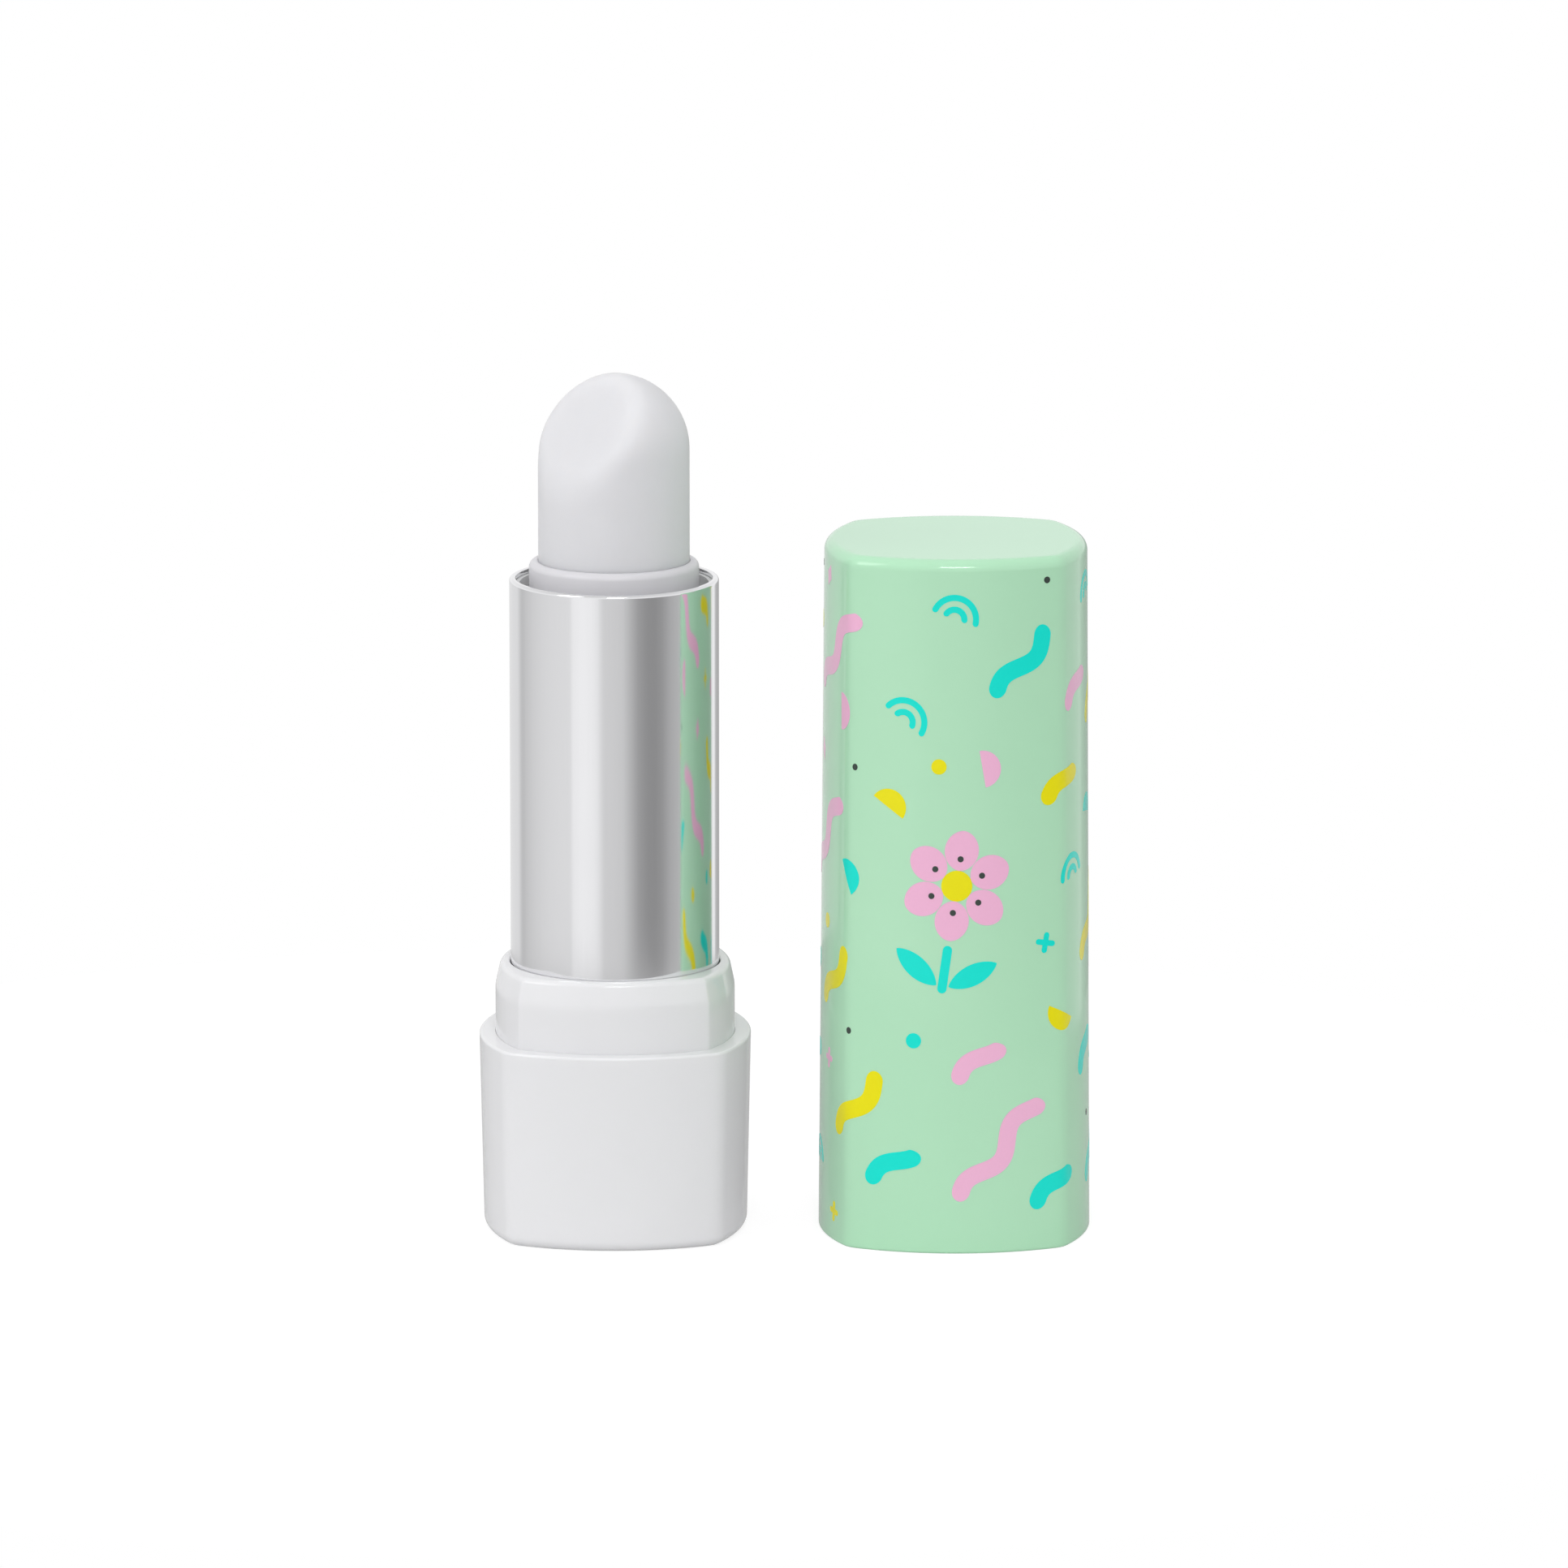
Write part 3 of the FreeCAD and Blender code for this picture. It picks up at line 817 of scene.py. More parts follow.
@dataclass
class TwistDrive:
    """Metal tube with its rolled mouth, and the moulded pieces of the drive inside it."""

    wall: float = 0.3
    foot_round: float = 0.06
    lip_reach: float = 0.5
    lip_thickness: float = 0.4
    roll_round: float = 0.28
    lip_round: float = 0.08
    lip_foot_round: float = 0.06
    tube_finish: Finish = PolishedMetal("tube_metal", linear(238, 238, 240))
    guide_finish: Finish = MouldedPlastic(
        "guide_natural", linear(222, 222, 219), gloss=(0.38, 0.5), glow=0.2, grain_depth=0.002
    )
    sleeve_finish: Finish = MouldedPlastic(
        "sleeve_natural", linear(222, 223, 223), gloss=(0.34, 0.46), glow=0.2, grain_depth=0.002
    )
    ring_finish: Finish = SoftRubber("ring_rubber", linear(200, 200, 197))

    def build_tube(self) -> None:
        """Model the metal tube."""
        low, high = (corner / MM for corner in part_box("tube_shell"))
        outer, bore, lip = high.x, high.x - self.wall, high.x - self.lip_reach
        lip_foot = high.z - self.lip_thickness
        mesh = turn_section([
            Corner(bore, low.z),
            Corner(outer, low.z, self.foot_round),
            Corner(outer, high.z, self.roll_round),
            Corner(lip, high.z, self.lip_round),
            Corner(lip, lip_foot, self.lip_foot_round),
            Corner(bore, lip_foot),
        ])
        tube = add_piece(mesh, "polished_tube", "tube", self.tube_finish.make())
        stand_for(tube, "tube_shell")

    def dress_drive(self) -> None:
        """Give the drive's own solids their finishes."""
        finishes = {
            "guide_tube": self.guide_finish,
            "spiral_sleeve": self.sleeve_finish,
            "friction_ring": self.ring_finish,
        }
        for node, finish in finishes.items():
            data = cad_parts[node].data
            data.materials.clear()
            data.materials.append(finish.make())
            log.info("%s: dressed", node)


@dataclass
class BalmCarrier:
    """Cup that rides up the tube, and the cast balm in it."""

    cup_wall: float = 0.75
    rim_round: float = 0.55
    rim_inner_round: float = 0.12
    foot_round: float = 0.1
    floor: float = 1.2
    skirt_wall: float = 1.0
    lug_radius: float = 1.0
    lug_height: float = 1.3
    lug_sides: int = 48
    slant_facing: Triple = (-1.0, -1.0, 1.0)
    slant_lift: float = 0.33
    slant_round: float = 1.2
    slant_rings: int = 48
    cup_finish: Finish = MouldedPlastic(
        "carrier_white", linear(212, 211, 215), gloss=(0.3, 0.42), glow=0.3, grain_depth=0.0015
    )
    balm_finish: Finish = CastWax("balm_wax", linear(220, 220, 223))

    def __post_init__(self) -> None:
        """Read the cup's and the balm's places from the frame."""
        low, high = (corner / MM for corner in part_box("carrier_cup"))
        self.radius, self.foot, self.top, self.lug_reach = high.x, low.z, high.z, high.y
        low, high = (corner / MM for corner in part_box("balm"))
        self.balm_radius, self.balm_foot, self.tip = high.x, low.z, high.z

    def build_cup(self) -> None:
        """Model the cup, its skirt and the two lugs."""
        bore, skirt = self.radius - self.cup_wall, self.radius - self.skirt_wall
        ceiling = self.balm_foot - self.floor
        mesh = turn_section([
            Corner(0, ceiling),
            Corner(skirt, ceiling),
            Corner(skirt, self.foot),
            Corner(self.radius, self.foot, self.foot_round),
            Corner(self.radius, self.top, self.rim_round),
            Corner(bore, self.top, self.rim_inner_round),
            Corner(bore, self.balm_foot),
            Corner(0, self.balm_foot),
        ])
        for side in (-1, 1):
            self.add_lug(mesh, side)
        cup = add_piece(mesh, "balm_cup", "carrier", self.cup_finish.make())
        stand_for(cup, "carrier_cup")

    def add_lug(self, mesh: bmesh.types.BMesh, side: int) -> None:
        """Add one lug, rooted in the skirt's wall.

        Args:
            mesh: Mesh of the cup.
            side: -1 for the front lug, 1 for the back one.
        """
        root = self.radius - self.skirt_wall / 2
        place = Vector((0, side * (root + self.lug_reach) / 2, self.foot + self.lug_height))
        bmesh.ops.create_cone(
            mesh,
            cap_ends=True,
            segments=self.lug_sides,
            radius1=self.lug_radius * MM,
            radius2=self.lug_radius * MM,
            depth=(self.lug_reach - root) * MM,
            matrix=Matrix.Translation(place * MM) @ Matrix.Rotation(QUARTER, 4, "X"),
        )

    def build_balm(self) -> None:
        """Model the balm with its round tip and the slanted face on it."""
        side = self.tip - self.balm_radius - self.top
        levels = [self.top + side * ring / self.slant_rings for ring in range(self.slant_rings)]
        mesh = turn_section([
            Corner(0, self.balm_foot),
            Corner(self.balm_radius, self.balm_foot),
            *(Corner(self.balm_radius, level) for level in levels),
            Corner(self.balm_radius, self.tip, self.balm_radius),
            Corner(0, self.tip),
        ])
        self.flatten_slant(mesh)
        balm = add_piece(mesh, "balm_stick", "carrier", self.balm_finish.make())
        stand_for(balm, "balm")

    def flatten_slant(self, mesh: bmesh.types.BMesh) -> None:
        """Press what stands beyond the slanted face down to it, with a rounded edge.

        Args:
            mesh: Mesh of the round-tipped balm.
        """
        facing = Vector(self.slant_facing).normalized()
        crossing = Vector((0, 0, self.tip + self.slant_lift))
        for vert in mesh.verts:
            beyond = facing.dot(vert.co / MM - crossing)
            rounding = max(self.slant_round - abs(beyond), 0.0) ** 2 / (4 * self.slant_round)
            vert.co -= facing * (max(beyond, 0.0) + rounding) * MM


@dataclass
class Cap:
    """Pull-off cap with the base's outline, standing on its mouth."""

    side_radius: float = 18.0
    corner_radius: float = 2.2
    draw: float = 0.43
    wall: float = 1.2
    top_thickness: float = 1.5
    top_round: float = 0.9
    ceiling_round: float = 0.4
    mouth_round: float = 0.22
    mouth_inner_round: float = 0.1
    finish: Finish = MouldedPlastic("cap_mint", linear(178, 226, 191), glow=0.06)

    def __post_init__(self) -> None:
        """Read the cap's place from the frame."""
        low, high = (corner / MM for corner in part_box("cap_shell"))
        self.middle = (low.x + high.x) / 2
        self.height = high.z
        self.outside = BowedSquare(high.x - self.middle, self.side_radius, self.corner_radius)

    def drawn_in(self, level: float) -> float:
        """How far the side lies inside the mouth's outline at a level."""
        return self.draw * level / self.height

    def build(self) -> None:
        """Model the cap, drawn in towards its top."""
        outside, bore = self.outside, self.outside.half - self.wall
        ceiling = self.height - self.top_thickness
        mesh = sweep_section([
            Corner(0, ceiling),
            Corner(bore, ceiling, self.ceiling_round, outside),
            Corner(bore, 0, self.mouth_inner_round, outside),
            Corner(outside.half, 0, self.mouth_round, outside),
            Corner(outside.half - self.draw, self.height, self.top_round, outside),
            Corner(0, self.height),
        ])
        bmesh.ops.translate(mesh, verts=mesh.verts, vec=(self.middle * MM, 0, 0))
        stand_for(add_piece(mesh, "mint_cap", "cap", self.finish.make()), "cap_shell")


class Ink(Enum):
    """Inks of the cap's print."""

    TURQUOISE = PrintInk("ink_turquoise", linear(8, 226, 210))
    YELLOW = PrintInk("ink_yellow", linear(236, 226, 2))
    PINK = PrintInk("ink_pink", linear(240, 182, 214))
    DARK = PrintInk("ink_dark", linear(60, 70, 65))


Path = Callable[[float], Vector]
Width = Callable[[float], float]


@dataclass(frozen=True)
class Stroke:
    """Flat stroke of ink: a path, and half its width at each share of the path's length."""

    ink: Ink
    path: Path
    half_width: Width
    steps: int = 24
    layer: int = 0

    def draw(self) -> bmesh.types.BMesh:
        """Lay the stroke out flat, across X and up Z.

        Returns:
            Its mesh, in millimetres.
        """
        mesh = bmesh.new()
        bmesh.ops.create_grid(mesh, x_segments=self.steps, y_segments=1, size=1.0)
        for vert in mesh.verts:
            share = (1 - math.cos(math.pi * (vert.co.x + 1) / 2)) / 2
            ahead = self.path(share + NUDGE) - self.path(share - NUDGE)
            normal = Vector((-ahead.y, ahead.x)).normalized()
            spot = self.path(share) + normal * self.half_width(share) * vert.co.y
            vert.co = (spot.x, 0, spot.y)
        bmesh.ops.remove_doubles(mesh, verts=mesh.verts, dist=MERGE)
        return mesh


def straight(start: Sequence[float], end: Sequence[float]) -> Path:
    """Path from one point to another."""
    return lambda share: Vector(start).lerp(Vector(end), share)


def arched(radius: float) -> Path:
    """Path over a half circle from left to right."""
    return lambda share: Vector((-math.cos(math.pi * share), math.sin(math.pi * share))) * radius


def waved(length: float, height: float, waves: float) -> Path:
    """Path along a wave about a straight line."""
    return lambda share: Vector((length * (share - 0.5), height * math.sin(2 * math.pi * waves * share)))


def round_ended(length: float, width: float) -> Width:
    """Half width of a stroke with round ends."""

    def half(share: float) -> float:
        """Half width at a share of the length."""
        end = max(width / 2 - min(share, 1 - share) * length, 0.0)
        return math.sqrt(max((width / 2) ** 2 - end**2, 0.0))

    return half


def half_round_ended(length: float, width: float) -> Width:
    """Half width of a stroke with a square start and a round end."""
    return lambda share: round_ended(2 * length, width)(0.5 + share / 2)


def bulged(width: float, power: float = 0.5) -> Width:
    """Half width that swells from nothing to the middle and back, as an ellipse or slimmer."""
    return lambda share: width / 2 * max(4 * share * (1 - share), 0.0) ** power


@dataclass(frozen=True)
class Motif:
    """Small figure of the print, the discs that cover it and the range of its lean in degrees."""

    strokes: tuple[Stroke, ...]
    discs: tuple[Triple, ...]
    lean: Pair = (0.0, 0.0)

    @property
    def reach(self) -> float:
        """Distance of its farthest part from its middle."""
        return max(math.hypot(across, up) + radius for across, up, radius in self.discs)


def ribbon(ink: Ink, length: float) -> Motif:
    """Wavy ribbon with round ends."""
    width, height, wave = 1.45, 0.62, 6.2
    path = waved(length, height, length / wave)
    stroke = Stroke(ink, path, round_ended(length, width), steps=56)
    discs = tuple((length * share, 0.0, width) for share in (-0.4, -0.2, 0.0, 0.2, 0.4))
    return Motif((stroke,), discs, lean=(38, 52))


def plus_sign(ink: Ink) -> Motif:
    """Upright plus sign."""
    size, width = 1.7, 0.46
    bar = Stroke(ink, straight((0, -size / 2), (0, size / 2)), round_ended(size, width))
    arm = (size - width) / 2
    stubs = [
        Stroke(ink, straight((side * width / 2, 0), (side * size / 2, 0)), half_round_ended(arm, width))
        for side in (-1, 1)
    ]
    return Motif((bar, *stubs), ((0.0, 0.0, size / 2),), lean=(-12, 12))


def diamond(ink: Ink) -> Motif:
    """Upright diamond."""
    tall, wide = 1.9, 1.25
    path = straight((0, -tall / 2), (0, tall / 2))
    stroke = Stroke(ink, path, lambda share: wide / 2 * (1 - abs(2 * share - 1)))
    return Motif((stroke,), ((0.0, 0.0, tall / 2),), lean=(-25, 25))


def half_disc(ink: Ink) -> Motif:
    """Half disc with its flat side down before it leans."""
    radius = 1.5
    path = straight((0, 0), (0, radius))
    stroke = Stroke(ink, path, lambda share: radius * math.sqrt(max(1 - share**2, 0.0)))
    return Motif((stroke,), ((0.0, radius / 2, radius),), lean=(-180, 180))


def arches(ink: Ink) -> Motif:
    """Small arch inside a larger one."""
    width, radii, middle = 0.5, (0.8, 1.75), 0.6
    ends = [round_ended(math.pi * radius, width) for radius in radii]
    strokes = tuple(Stroke(ink, arched(radius), end, steps=40) for radius, end in zip(radii, ends))
    return Motif(strokes, ((0.0, middle, max(radii) + width / 2),), lean=(-40, 40))


def disc(ink: Ink, radius: float) -> Motif:
    """Plain disc."""
    stroke = Stroke(ink, straight((-radius, 0), (radius, 0)), bulged(2 * radius))
    return Motif((stroke,), ((0.0, 0.0, radius),))


def daisy() -> Motif:
    """Six-petalled flower over a leafy stem."""
    petals, heart, tip, petal_width, dot_place, dot = 6, 1.25, 4.5, 2.75, 2.2, 0.25
    stem_head, stem_foot, stem_width = -4.9, -8.8, 0.75
    leaf_root, leaf_tip, leaf_width, leaf_disc = (0.5, -8.2), (4.1, -5.8), 1.7, (2.0, -7.0, 2.4)
    petal_power, leaf_power = 0.55, 0.8
    strokes = [Stroke(Ink.YELLOW, straight((-heart, 0), (heart, 0)), bulged(2 * heart), steps=32, layer=1)]
    for petal in range(petals):
        angle = 2 * math.pi * petal / petals + QUARTER
        ray = Vector((math.cos(angle), math.sin(angle)))
        petal_path = straight(ray * heart, ray * tip)
        strokes.append(Stroke(Ink.PINK, petal_path, bulged(petal_width, petal_power), steps=32))
        ends = ray * (dot_place - dot), ray * (dot_place + dot)
        strokes.append(Stroke(Ink.DARK, straight(*ends), bulged(2 * dot), steps=12, layer=1))
    stem = straight((0, stem_foot), (0, stem_head))
    strokes.append(Stroke(Ink.TURQUOISE, stem, round_ended(stem_head - stem_foot, stem_width)))
    for side in (-1, 1):
        leaf = straight((side * leaf_root[0], leaf_root[1]), (side * leaf_tip[0], leaf_tip[1]))
        strokes.append(Stroke(Ink.TURQUOISE, leaf, bulged(leaf_width, leaf_power), steps=28))
    across, up, radius = leaf_disc
    return Motif(tuple(strokes), ((0.0, 0.0, tip), (-across, up, radius), leaf_disc))


@dataclass(frozen=True)
class Spot:
    """Place of one motif: length round the cap, height and lean in degrees."""

    run: float
    up: float
    lean: float
    motif: Motif

    def discs(self) -> list[Triple]:
        """Discs of the motif, leaned and moved to this place."""
        turn = Matrix.Rotation(math.radians(self.lean), 2)
        placed = [(turn @ Vector(item[:2]), item[2]) for item in self.motif.discs]
        return [(self.run + middle.x, self.up + middle.y, radius) for middle, radius in placed]


@dataclass
class CapPrint:
    """Confetti print round the cap, in thin layers of ink."""

    cap: Cap
    margins: Pair = (1.6, 1.2)
    lift: float = 0.018
    layer_lift: float = 0.009
    sink: float = 0.02
    strip: float = 0.35
    spacing: float = 0.35
    throws: int = 160
    seed: int = 11
    ribbon_lengths: Triple = (10.5, 7.0, 4.8)
    disc_radius: float = 0.62
    dot_radius: float = 0.27
    flowers: tuple[Triple, ...] = ((0.0, 30.0, -8.0), (0.5, 33.0, 10.0))
    meshes: dict[Ink, bmesh.types.BMesh] = field(default_factory=dict)

    def __post_init__(self) -> None:
        """Find the print's area."""
        self.length = 4 * self.cap.outside.quarter_run
        self.foot = self.margins[0]
        self.head = self.cap.height - self.margins[1]

    def motifs(self) -> list[Motif]:
        """Motifs in the order that they are placed, the largest first."""
        bright = (Ink.TURQUOISE, Ink.YELLOW, Ink.PINK)
        *longer, short = self.ribbon_lengths
        found = [ribbon(bright[index % 3], length) for length in longer for index in range(9)]
        found += [arches(Ink.TURQUOISE) for _ in range(8)]
        found += [ribbon(bright[index % 3], short) for index in range(12)]
        found += [half_disc(bright[(index + 2) % 3]) for index in range(10)]
        found += [diamond(bright[(index + 1) % 3]) for index in range(6)]
        found += [plus_sign(bright[index % 3]) for index in range(10)]
        found += [disc(bright[index % 2], self.disc_radius) for index in range(4)]
        found += [disc(Ink.DARK, self.dot_radius) for _ in range(11)]
        return found

    def clearance(self, spot: Spot, others: Sequence[Spot]) -> float:
        """Clear distance from a spot to the nearest of the others, the short way round the cap.

        Args:
            spot: Spot to judge.
            others: Spots that are taken.

        Returns:
            The distance, negative where the spot overlaps another.
        """
        gaps = []
        taken = [item for other in others for item in other.discs()]
        for run, up, radius in spot.discs():
            for other_run, other_up, other_radius in taken:
                along = abs(run - other_run) % self.length
                along = min(along, self.length - along)
                gaps.append(math.hypot(along, up - other_up) - radius - other_radius)
        return min(gaps)

    def scatter(self) -> list[Spot]:
        """Place each motif where it has the most room of several throws.

        Returns:
            The motifs with their places.
        """
        chance = random.Random(self.seed)
        spots = [Spot(share * self.length, up, lean, daisy()) for share, up, lean in self.flowers]
        for motif in self.motifs():
            tries = []
            for _ in range(self.throws):
                run = chance.uniform(0, self.length)
                up = chance.uniform(self.foot + motif.reach, self.head - motif.reach)
                tries.append(Spot(run, up, chance.uniform(*motif.lean), motif))
            rooms = [self.clearance(spot, spots) for spot in tries]
            if max(rooms) > self.spacing:
                spots.append(tries[rooms.index(max(rooms))])
        return spots

    def lay(self, stroke: Stroke, spot: Spot) -> None:
        """Wrap one stroke onto the cap and add it to its ink's mesh.

        Args:
            stroke: Stroke of a motif.
            spot: Place of the motif.
        """
        mesh = stroke.draw()
        turn = Matrix.Rotation(-math.radians(spot.lean), 3, "Y")
        bmesh.ops.rotate(mesh, verts=mesh.verts, cent=(0, 0, 0), matrix=turn)
        bmesh.ops.translate(mesh, verts=mesh.verts, vec=(spot.run, -self.sink, spot.up))
        runs = [vert.co.x for vert in mesh.verts]
        for cut in range(math.ceil(min(runs) / self.strip), math.floor(max(runs) / self.strip) + 1):
            bmesh.ops.bisect_plane(
                mesh,
                geom=[*mesh.verts, *mesh.edges, *mesh.faces],
                plane_co=(cut * self.strip, 0, 0),
                plane_no=(1, 0, 0),
            )
        made = bmesh.ops.extrude_face_region(mesh, geom=mesh.faces[:], use_keep_orig=True)["geom"]
        upper = [item for item in made if isinstance(item, bmesh.types.BMVert)]
        height = self.sink + self.lift + self.layer_lift * stroke.layer
        bmesh.ops.translate(mesh, verts=upper, vec=(0, height, 0))
        for vert in mesh.verts:
            point, normal = self.cap.outside.follow(vert.co.x)
            level = Vector((self.cap.middle, 0, vert.co.z))
            vert.co = (point + normal * (vert.co.y - self.cap.drawn_in(vert.co.z)) + level) * MM
        bmesh.ops.recalc_face_normals(mesh, faces=mesh.faces)
        carried = bpy.data.meshes.new("stroke")
        mesh.to_mesh(carried)
        mesh.free()
        self.meshes.setdefault(stroke.ink, bmesh.new()).from_mesh(carried)
        bpy.data.meshes.remove(carried)

    def build(self) -> None:
        """Print every motif, one piece for each ink."""
        spots = self.scatter()
        for spot in spots:
            for stroke in spot.motif.strokes:
                self.lay(stroke, spot)
        log.info("print: %d motifs", len(spots))
        for ink, mesh in self.meshes.items():
            add_piece(mesh, f"cap_print_{ink.name.lower()}", "cap", ink.value.make())


def direction(azimuth: float, elevation: float) -> Vector:
    """Unit vector from the stick, with azimuth 0 at the front and growing towards +X.

    Args:
        azimuth: Degrees round the stick.
        elevation: Degrees above the horizon.

    Returns:
        The vector.
    """
    turn, rise = math.radians(azimuth), math.radians(elevation)
    return Vector((math.sin(turn) * math.cos(rise), -math.cos(turn) * math.cos(rise), math.sin(rise)))


@dataclass(frozen=True)
class Softbox:
    """Soft lamp: direction and distance from the stick, size, brightness and whether gloss mirrors it."""

    name: str
    azimuth: float
    elevation: float
    distance: float
    width: float
    height: float
    radiance: float
    mirrored: bool = True


# Name, azimuth, elevation, distance, width, height and radiance of each lamp
SOFTBOXES = (
    Softbox("front_softbox", 2.0, 28.0, 700.0, 220.0, 480.0, 2.0, mirrored=False),
    Softbox("front_strip", 2.0, 40.0, 690.0, 180.0, 90.0, 15.0),
    Softbox("left_softbox", -57.0, 38.0, 700.0, 240.0, 300.0, 3.2),
    Softbox("side_softbox", -88.0, 25.0, 700.0, 300.0, 300.0, 2.6, mirrored=False),
    Softbox("right_softbox", 50.0, 30.0, 700.0, 300.0, 300.0, 0.9, mirrored=False),
    Softbox("top_softbox", -20.0, 88.0, 700.0, 420.0, 300.0, 1.8, mirrored=False),
)

# Grey of the panel ring by direction in degrees, from the front towards +X
PANELS = (
    (-180, 0.82), (-132, 0.80), (-127, 0.68), (-123, 0.59), (-118, 0.585), (-115, 0.625),
    (-100, 0.71), (-88, 0.757), (-76, 0.79), (-65, 0.807), (-48.5, 0.82), (-46, 0.95),
    (-34, 0.995), (-22, 0.96), (-17, 0.89), (-11, 0.715), (0, 0.695), (10, 0.665),
    (18, 0.525), (27, 0.376), (37, 0.31), (46, 0.30), (55, 0.344), (64, 0.449),
    (90, 0.60), (132, 0.80), (137, 0.90), (144, 1.0), (148, 0.62), (155, 0.45),
    (180, 0.45),
)

# Grey of the sky that the glossy pieces mirror, by the sine of its elevation
SKY = ((0.0, 1.0), (1.0, 0.72))


@dataclass
class Studio:
    """White sweep, soft lamps and the camera."""

    floor_radius: float = 105.0
    floor_sides: int = 128
    cove_radius: float = 600.0
    cove_levels: Pair = (-360.0, 55.0)
    ambient: float = 0.54
    floor_albedo: float = 0.8
    floor_shadow: float = 0.24
    floor_glow: float = 0.84
    floor_mirrored: float = 0.55
    card_gap: float = 0.4
    card_size: Pair = (24.0, 16.8)
    card_glow: float = 0.45
    target: Triple = (13.58, 0.0, 36.1)
    elevation: float = 11.5
    distance: float = 1000.0
    view_width: float = 125.7
    sensor: float = 36.0
    clip_distances: Pair = (10.0, 20000.0)

    def add_stage(
        self, mesh: bmesh.types.BMesh, name: str, material: bpy.types.Material, hidden: Sequence[str] = ()
    ) -> None:
        """Make a stage object of a mesh.

        Args:
            mesh: Mesh, which is freed.
            name: Name of the object.
            material: Its material.
            hidden: Kinds of ray that don't meet it.
        """
        stage = new_object(mesh, name, material)
        for ray in hidden:
            setattr(stage, f"visible_{ray}", False)
        log.info("stage: %s", name)

    def ramp(
        self, sheet: NodeSheet, share: bpy.types.NodeSocket, stops: Sequence[Pair]
    ) -> bpy.types.NodeSocket:
        """Add a ramp of greys.

        Args:
            sheet: Sheet to write on.
            share: Place on the ramp, 0 to 1.
            stops: Place and grey of each stop.

        Returns:
            The grey.
        """
        node = sheet.add("ShaderNodeValToRGB", {"Fac": share})
        made = node.color_ramp.elements
        while len(made) < len(stops):
            made.new(0.5)
        for stop, (place, level) in zip(made, stops):
            stop.position, stop.color = place, grey(level)
        return node.outputs["Color"]

    def build_floor(self) -> None:
        """Make the pale floor, which shows white where no shadow falls on it."""
        mesh = bmesh.new()
        bmesh.ops.create_circle(mesh, cap_ends=True, segments=self.floor_sides, radius=self.floor_radius * MM)
        material, sheet = new_material("floor_pale")
        plain = sheet.add("ShaderNodeBsdfDiffuse", {"Color": grey(self.floor_albedo)})
        shadow = sheet.add("ShaderNodeBsdfDiffuse", {"Color": grey(self.floor_shadow)})
        glow = sheet.add("ShaderNodeEmission", {"Strength": self.floor_glow})
        lit = sheet.add("ShaderNodeAddShader", {0: shadow.outputs[0], 1: glow.outputs[0]})
        dim = sheet.add("ShaderNodeEmission", {"Strength": self.floor_mirrored})
        sheet.add("ShaderNodeOutputMaterial", {"Surface": sheet.by_ray(plain, dim, lit)})
        self.add_stage(mesh, "floor", material)

    def build_cove(self) -> None:
        """Make the ring of pale and grey panels that the metal mirrors."""
        mesh = bmesh.new()
        low, high = self.cove_levels
        bmesh.ops.create_circle(mesh, segments=self.floor_sides, radius=self.cove_radius * MM)
        bmesh.ops.translate(mesh, verts=mesh.verts, vec=(0, 0, low * MM))
        upper = ring_verts(grow_ring(mesh, mesh.edges[:]))
        bmesh.ops.translate(mesh, verts=upper, vec=(0, 0, (high - low) * MM))
        material, sheet = new_material("panel_greys")
        place = sheet.add("ShaderNodeTexCoord").outputs["Object"]
        split = sheet.add("ShaderNodeSeparateXYZ", {0: place}).outputs
        front = sheet.add("ShaderNodeMath", {0: split["Y"], 1: -1.0}, operation="MULTIPLY").outputs[0]
        angle = sheet.add("ShaderNodeMath", {0: split["X"], 1: front}, operation="ARCTAN2").outputs[0]
        share = sheet.between(angle, (-math.pi, math.pi), (0.0, 1.0))
        levels = self.ramp(sheet, share, [(azimuth / 360 + 0.5, level) for azimuth, level in PANELS])
        glow = sheet.add("ShaderNodeEmission", {"Color": levels, "Strength": 1.0})
        sheet.add("ShaderNodeOutputMaterial", {"Surface": glow.outputs[0]})
        self.add_stage(mesh, "panel_ring", material, ("camera", "diffuse", "transmission", "shadow"))

    def build_card(self) -> None:
        """Stand a small white card before the cap, which keeps its green off the base."""
        mesh = bmesh.new()
        width, height = self.card_size
        place = Vector((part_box("cap_shell")[0].x / MM - self.card_gap, 0, height / 2))
        facing = Matrix.Rotation(-QUARTER, 4, "Y") @ Matrix.Diagonal((height / 2 * MM, width / 2 * MM, 1, 1))
        bmesh.ops.create_grid(
            mesh, x_segments=1, y_segments=1, size=1.0, matrix=Matrix.Translation(place * MM) @ facing
        )
        material, sheet = new_material("card_white")
        glow = sheet.add("ShaderNodeEmission", {"Strength": self.card_glow})
        clear = sheet.add("ShaderNodeBsdfTransparent")
        behind = sheet.add("ShaderNodeNewGeometry").outputs["Backfacing"]
        mix = sheet.add("ShaderNodeMixShader", {0: behind, 1: glow.outputs[0], 2: clear.outputs[0]})
        sheet.add("ShaderNodeOutputMaterial", {"Surface": mix.outputs[0]})
        self.add_stage(mesh, "white_card", material, ("camera", "transmission", "shadow"))

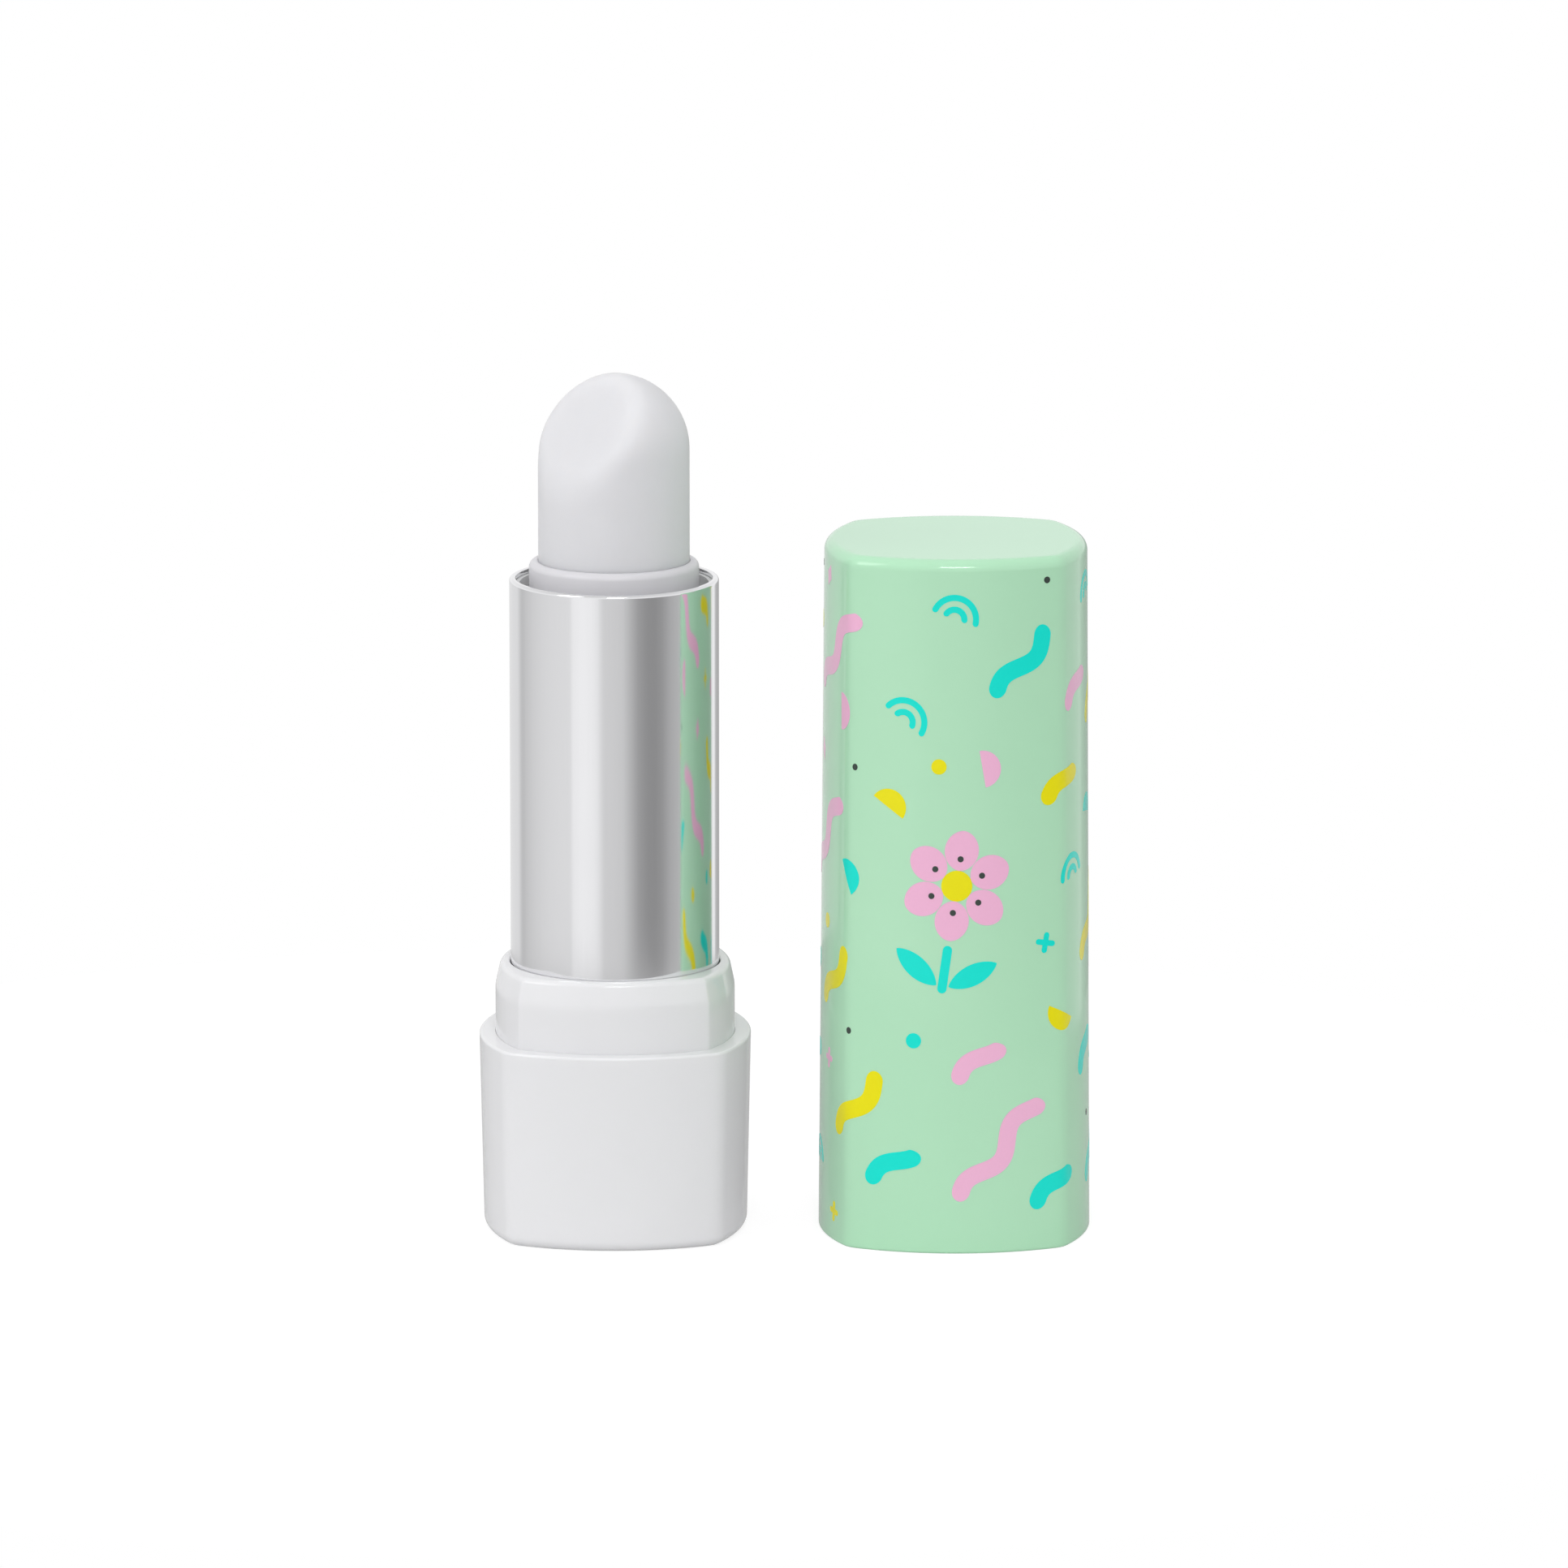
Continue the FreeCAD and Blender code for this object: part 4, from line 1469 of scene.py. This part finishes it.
    def build_world(self) -> None:
        """Light the object softly from all round, on a white background."""
        world = bpy.data.worlds.new("white_studio")
        bpy.context.scene.world = world
        world.use_nodes = True
        sheet = NodeSheet(world.node_tree)
        place = sheet.add("ShaderNodeTexCoord").outputs["Generated"]
        rise = sheet.add("ShaderNodeSeparateXYZ", {0: place}).outputs["Z"]
        soft = sheet.add("ShaderNodeBackground", {"Color": grey(1.0), "Strength": self.ambient})
        sky = sheet.add("ShaderNodeBackground", {"Color": self.ramp(sheet, rise, SKY), "Strength": 1.0})
        white = sheet.add("ShaderNodeBackground", {"Color": grey(1.0), "Strength": 1.0})
        sheet.add("ShaderNodeOutputWorld", {"Surface": sheet.by_ray(soft, sky, white)})

    def build_lamps(self) -> None:
        """Hang the softboxes."""
        aim = Vector(self.target) * MM
        for box in SOFTBOXES:
            data = bpy.data.lights.new(box.name, "AREA")
            data.shape = "RECTANGLE"
            data.size, data.size_y = box.width * MM, box.height * MM
            data.energy = box.radiance * math.pi * data.size * data.size_y
            lamp = bpy.data.objects.new(box.name, data)
            bpy.context.scene.collection.objects.link(lamp)
            away = direction(box.azimuth, box.elevation)
            lamp.location = aim + away * box.distance * MM
            lamp.rotation_euler = away.to_track_quat("Z", "Y").to_euler()
            lamp.visible_glossy = box.mirrored
            log.info("lamp: %s", box.name)

    def build_camera(self) -> None:
        """Set the camera at the photograph's angle."""
        data = bpy.data.cameras.new("camera")
        data.sensor_width = self.sensor
        data.lens = self.sensor * self.distance / self.view_width
        data.clip_start, data.clip_end = (distance * MM for distance in self.clip_distances)
        camera = bpy.data.objects.new("camera", data)
        bpy.context.scene.collection.objects.link(camera)
        away = direction(0.0, self.elevation)
        camera.location = (Vector(self.target) + away * self.distance) * MM
        camera.rotation_euler = away.to_track_quat("Z", "Y").to_euler()
        bpy.context.scene.camera = camera
        bpy.context.scene.view_settings.view_transform = "Standard"

    def build(self) -> None:
        """Build the whole studio."""
        self.build_floor()
        self.build_cove()
        self.build_card()
        self.build_world()
        self.build_lamps()
        self.build_camera()


def main() -> None:
    """Build the stick, its cap and the studio in order."""
    logging.basicConfig(level=logging.INFO, format="%(message)s")
    base = Base()
    base.build_shell()
    base.build_collar()
    drive = TwistDrive()
    drive.build_tube()
    drive.dress_drive()
    carrier = BalmCarrier()
    carrier.build_cup()
    carrier.build_balm()
    cap = Cap()
    cap.build()
    CapPrint(cap).build()
    Studio().build()


if __name__ == "__main__":
    main()
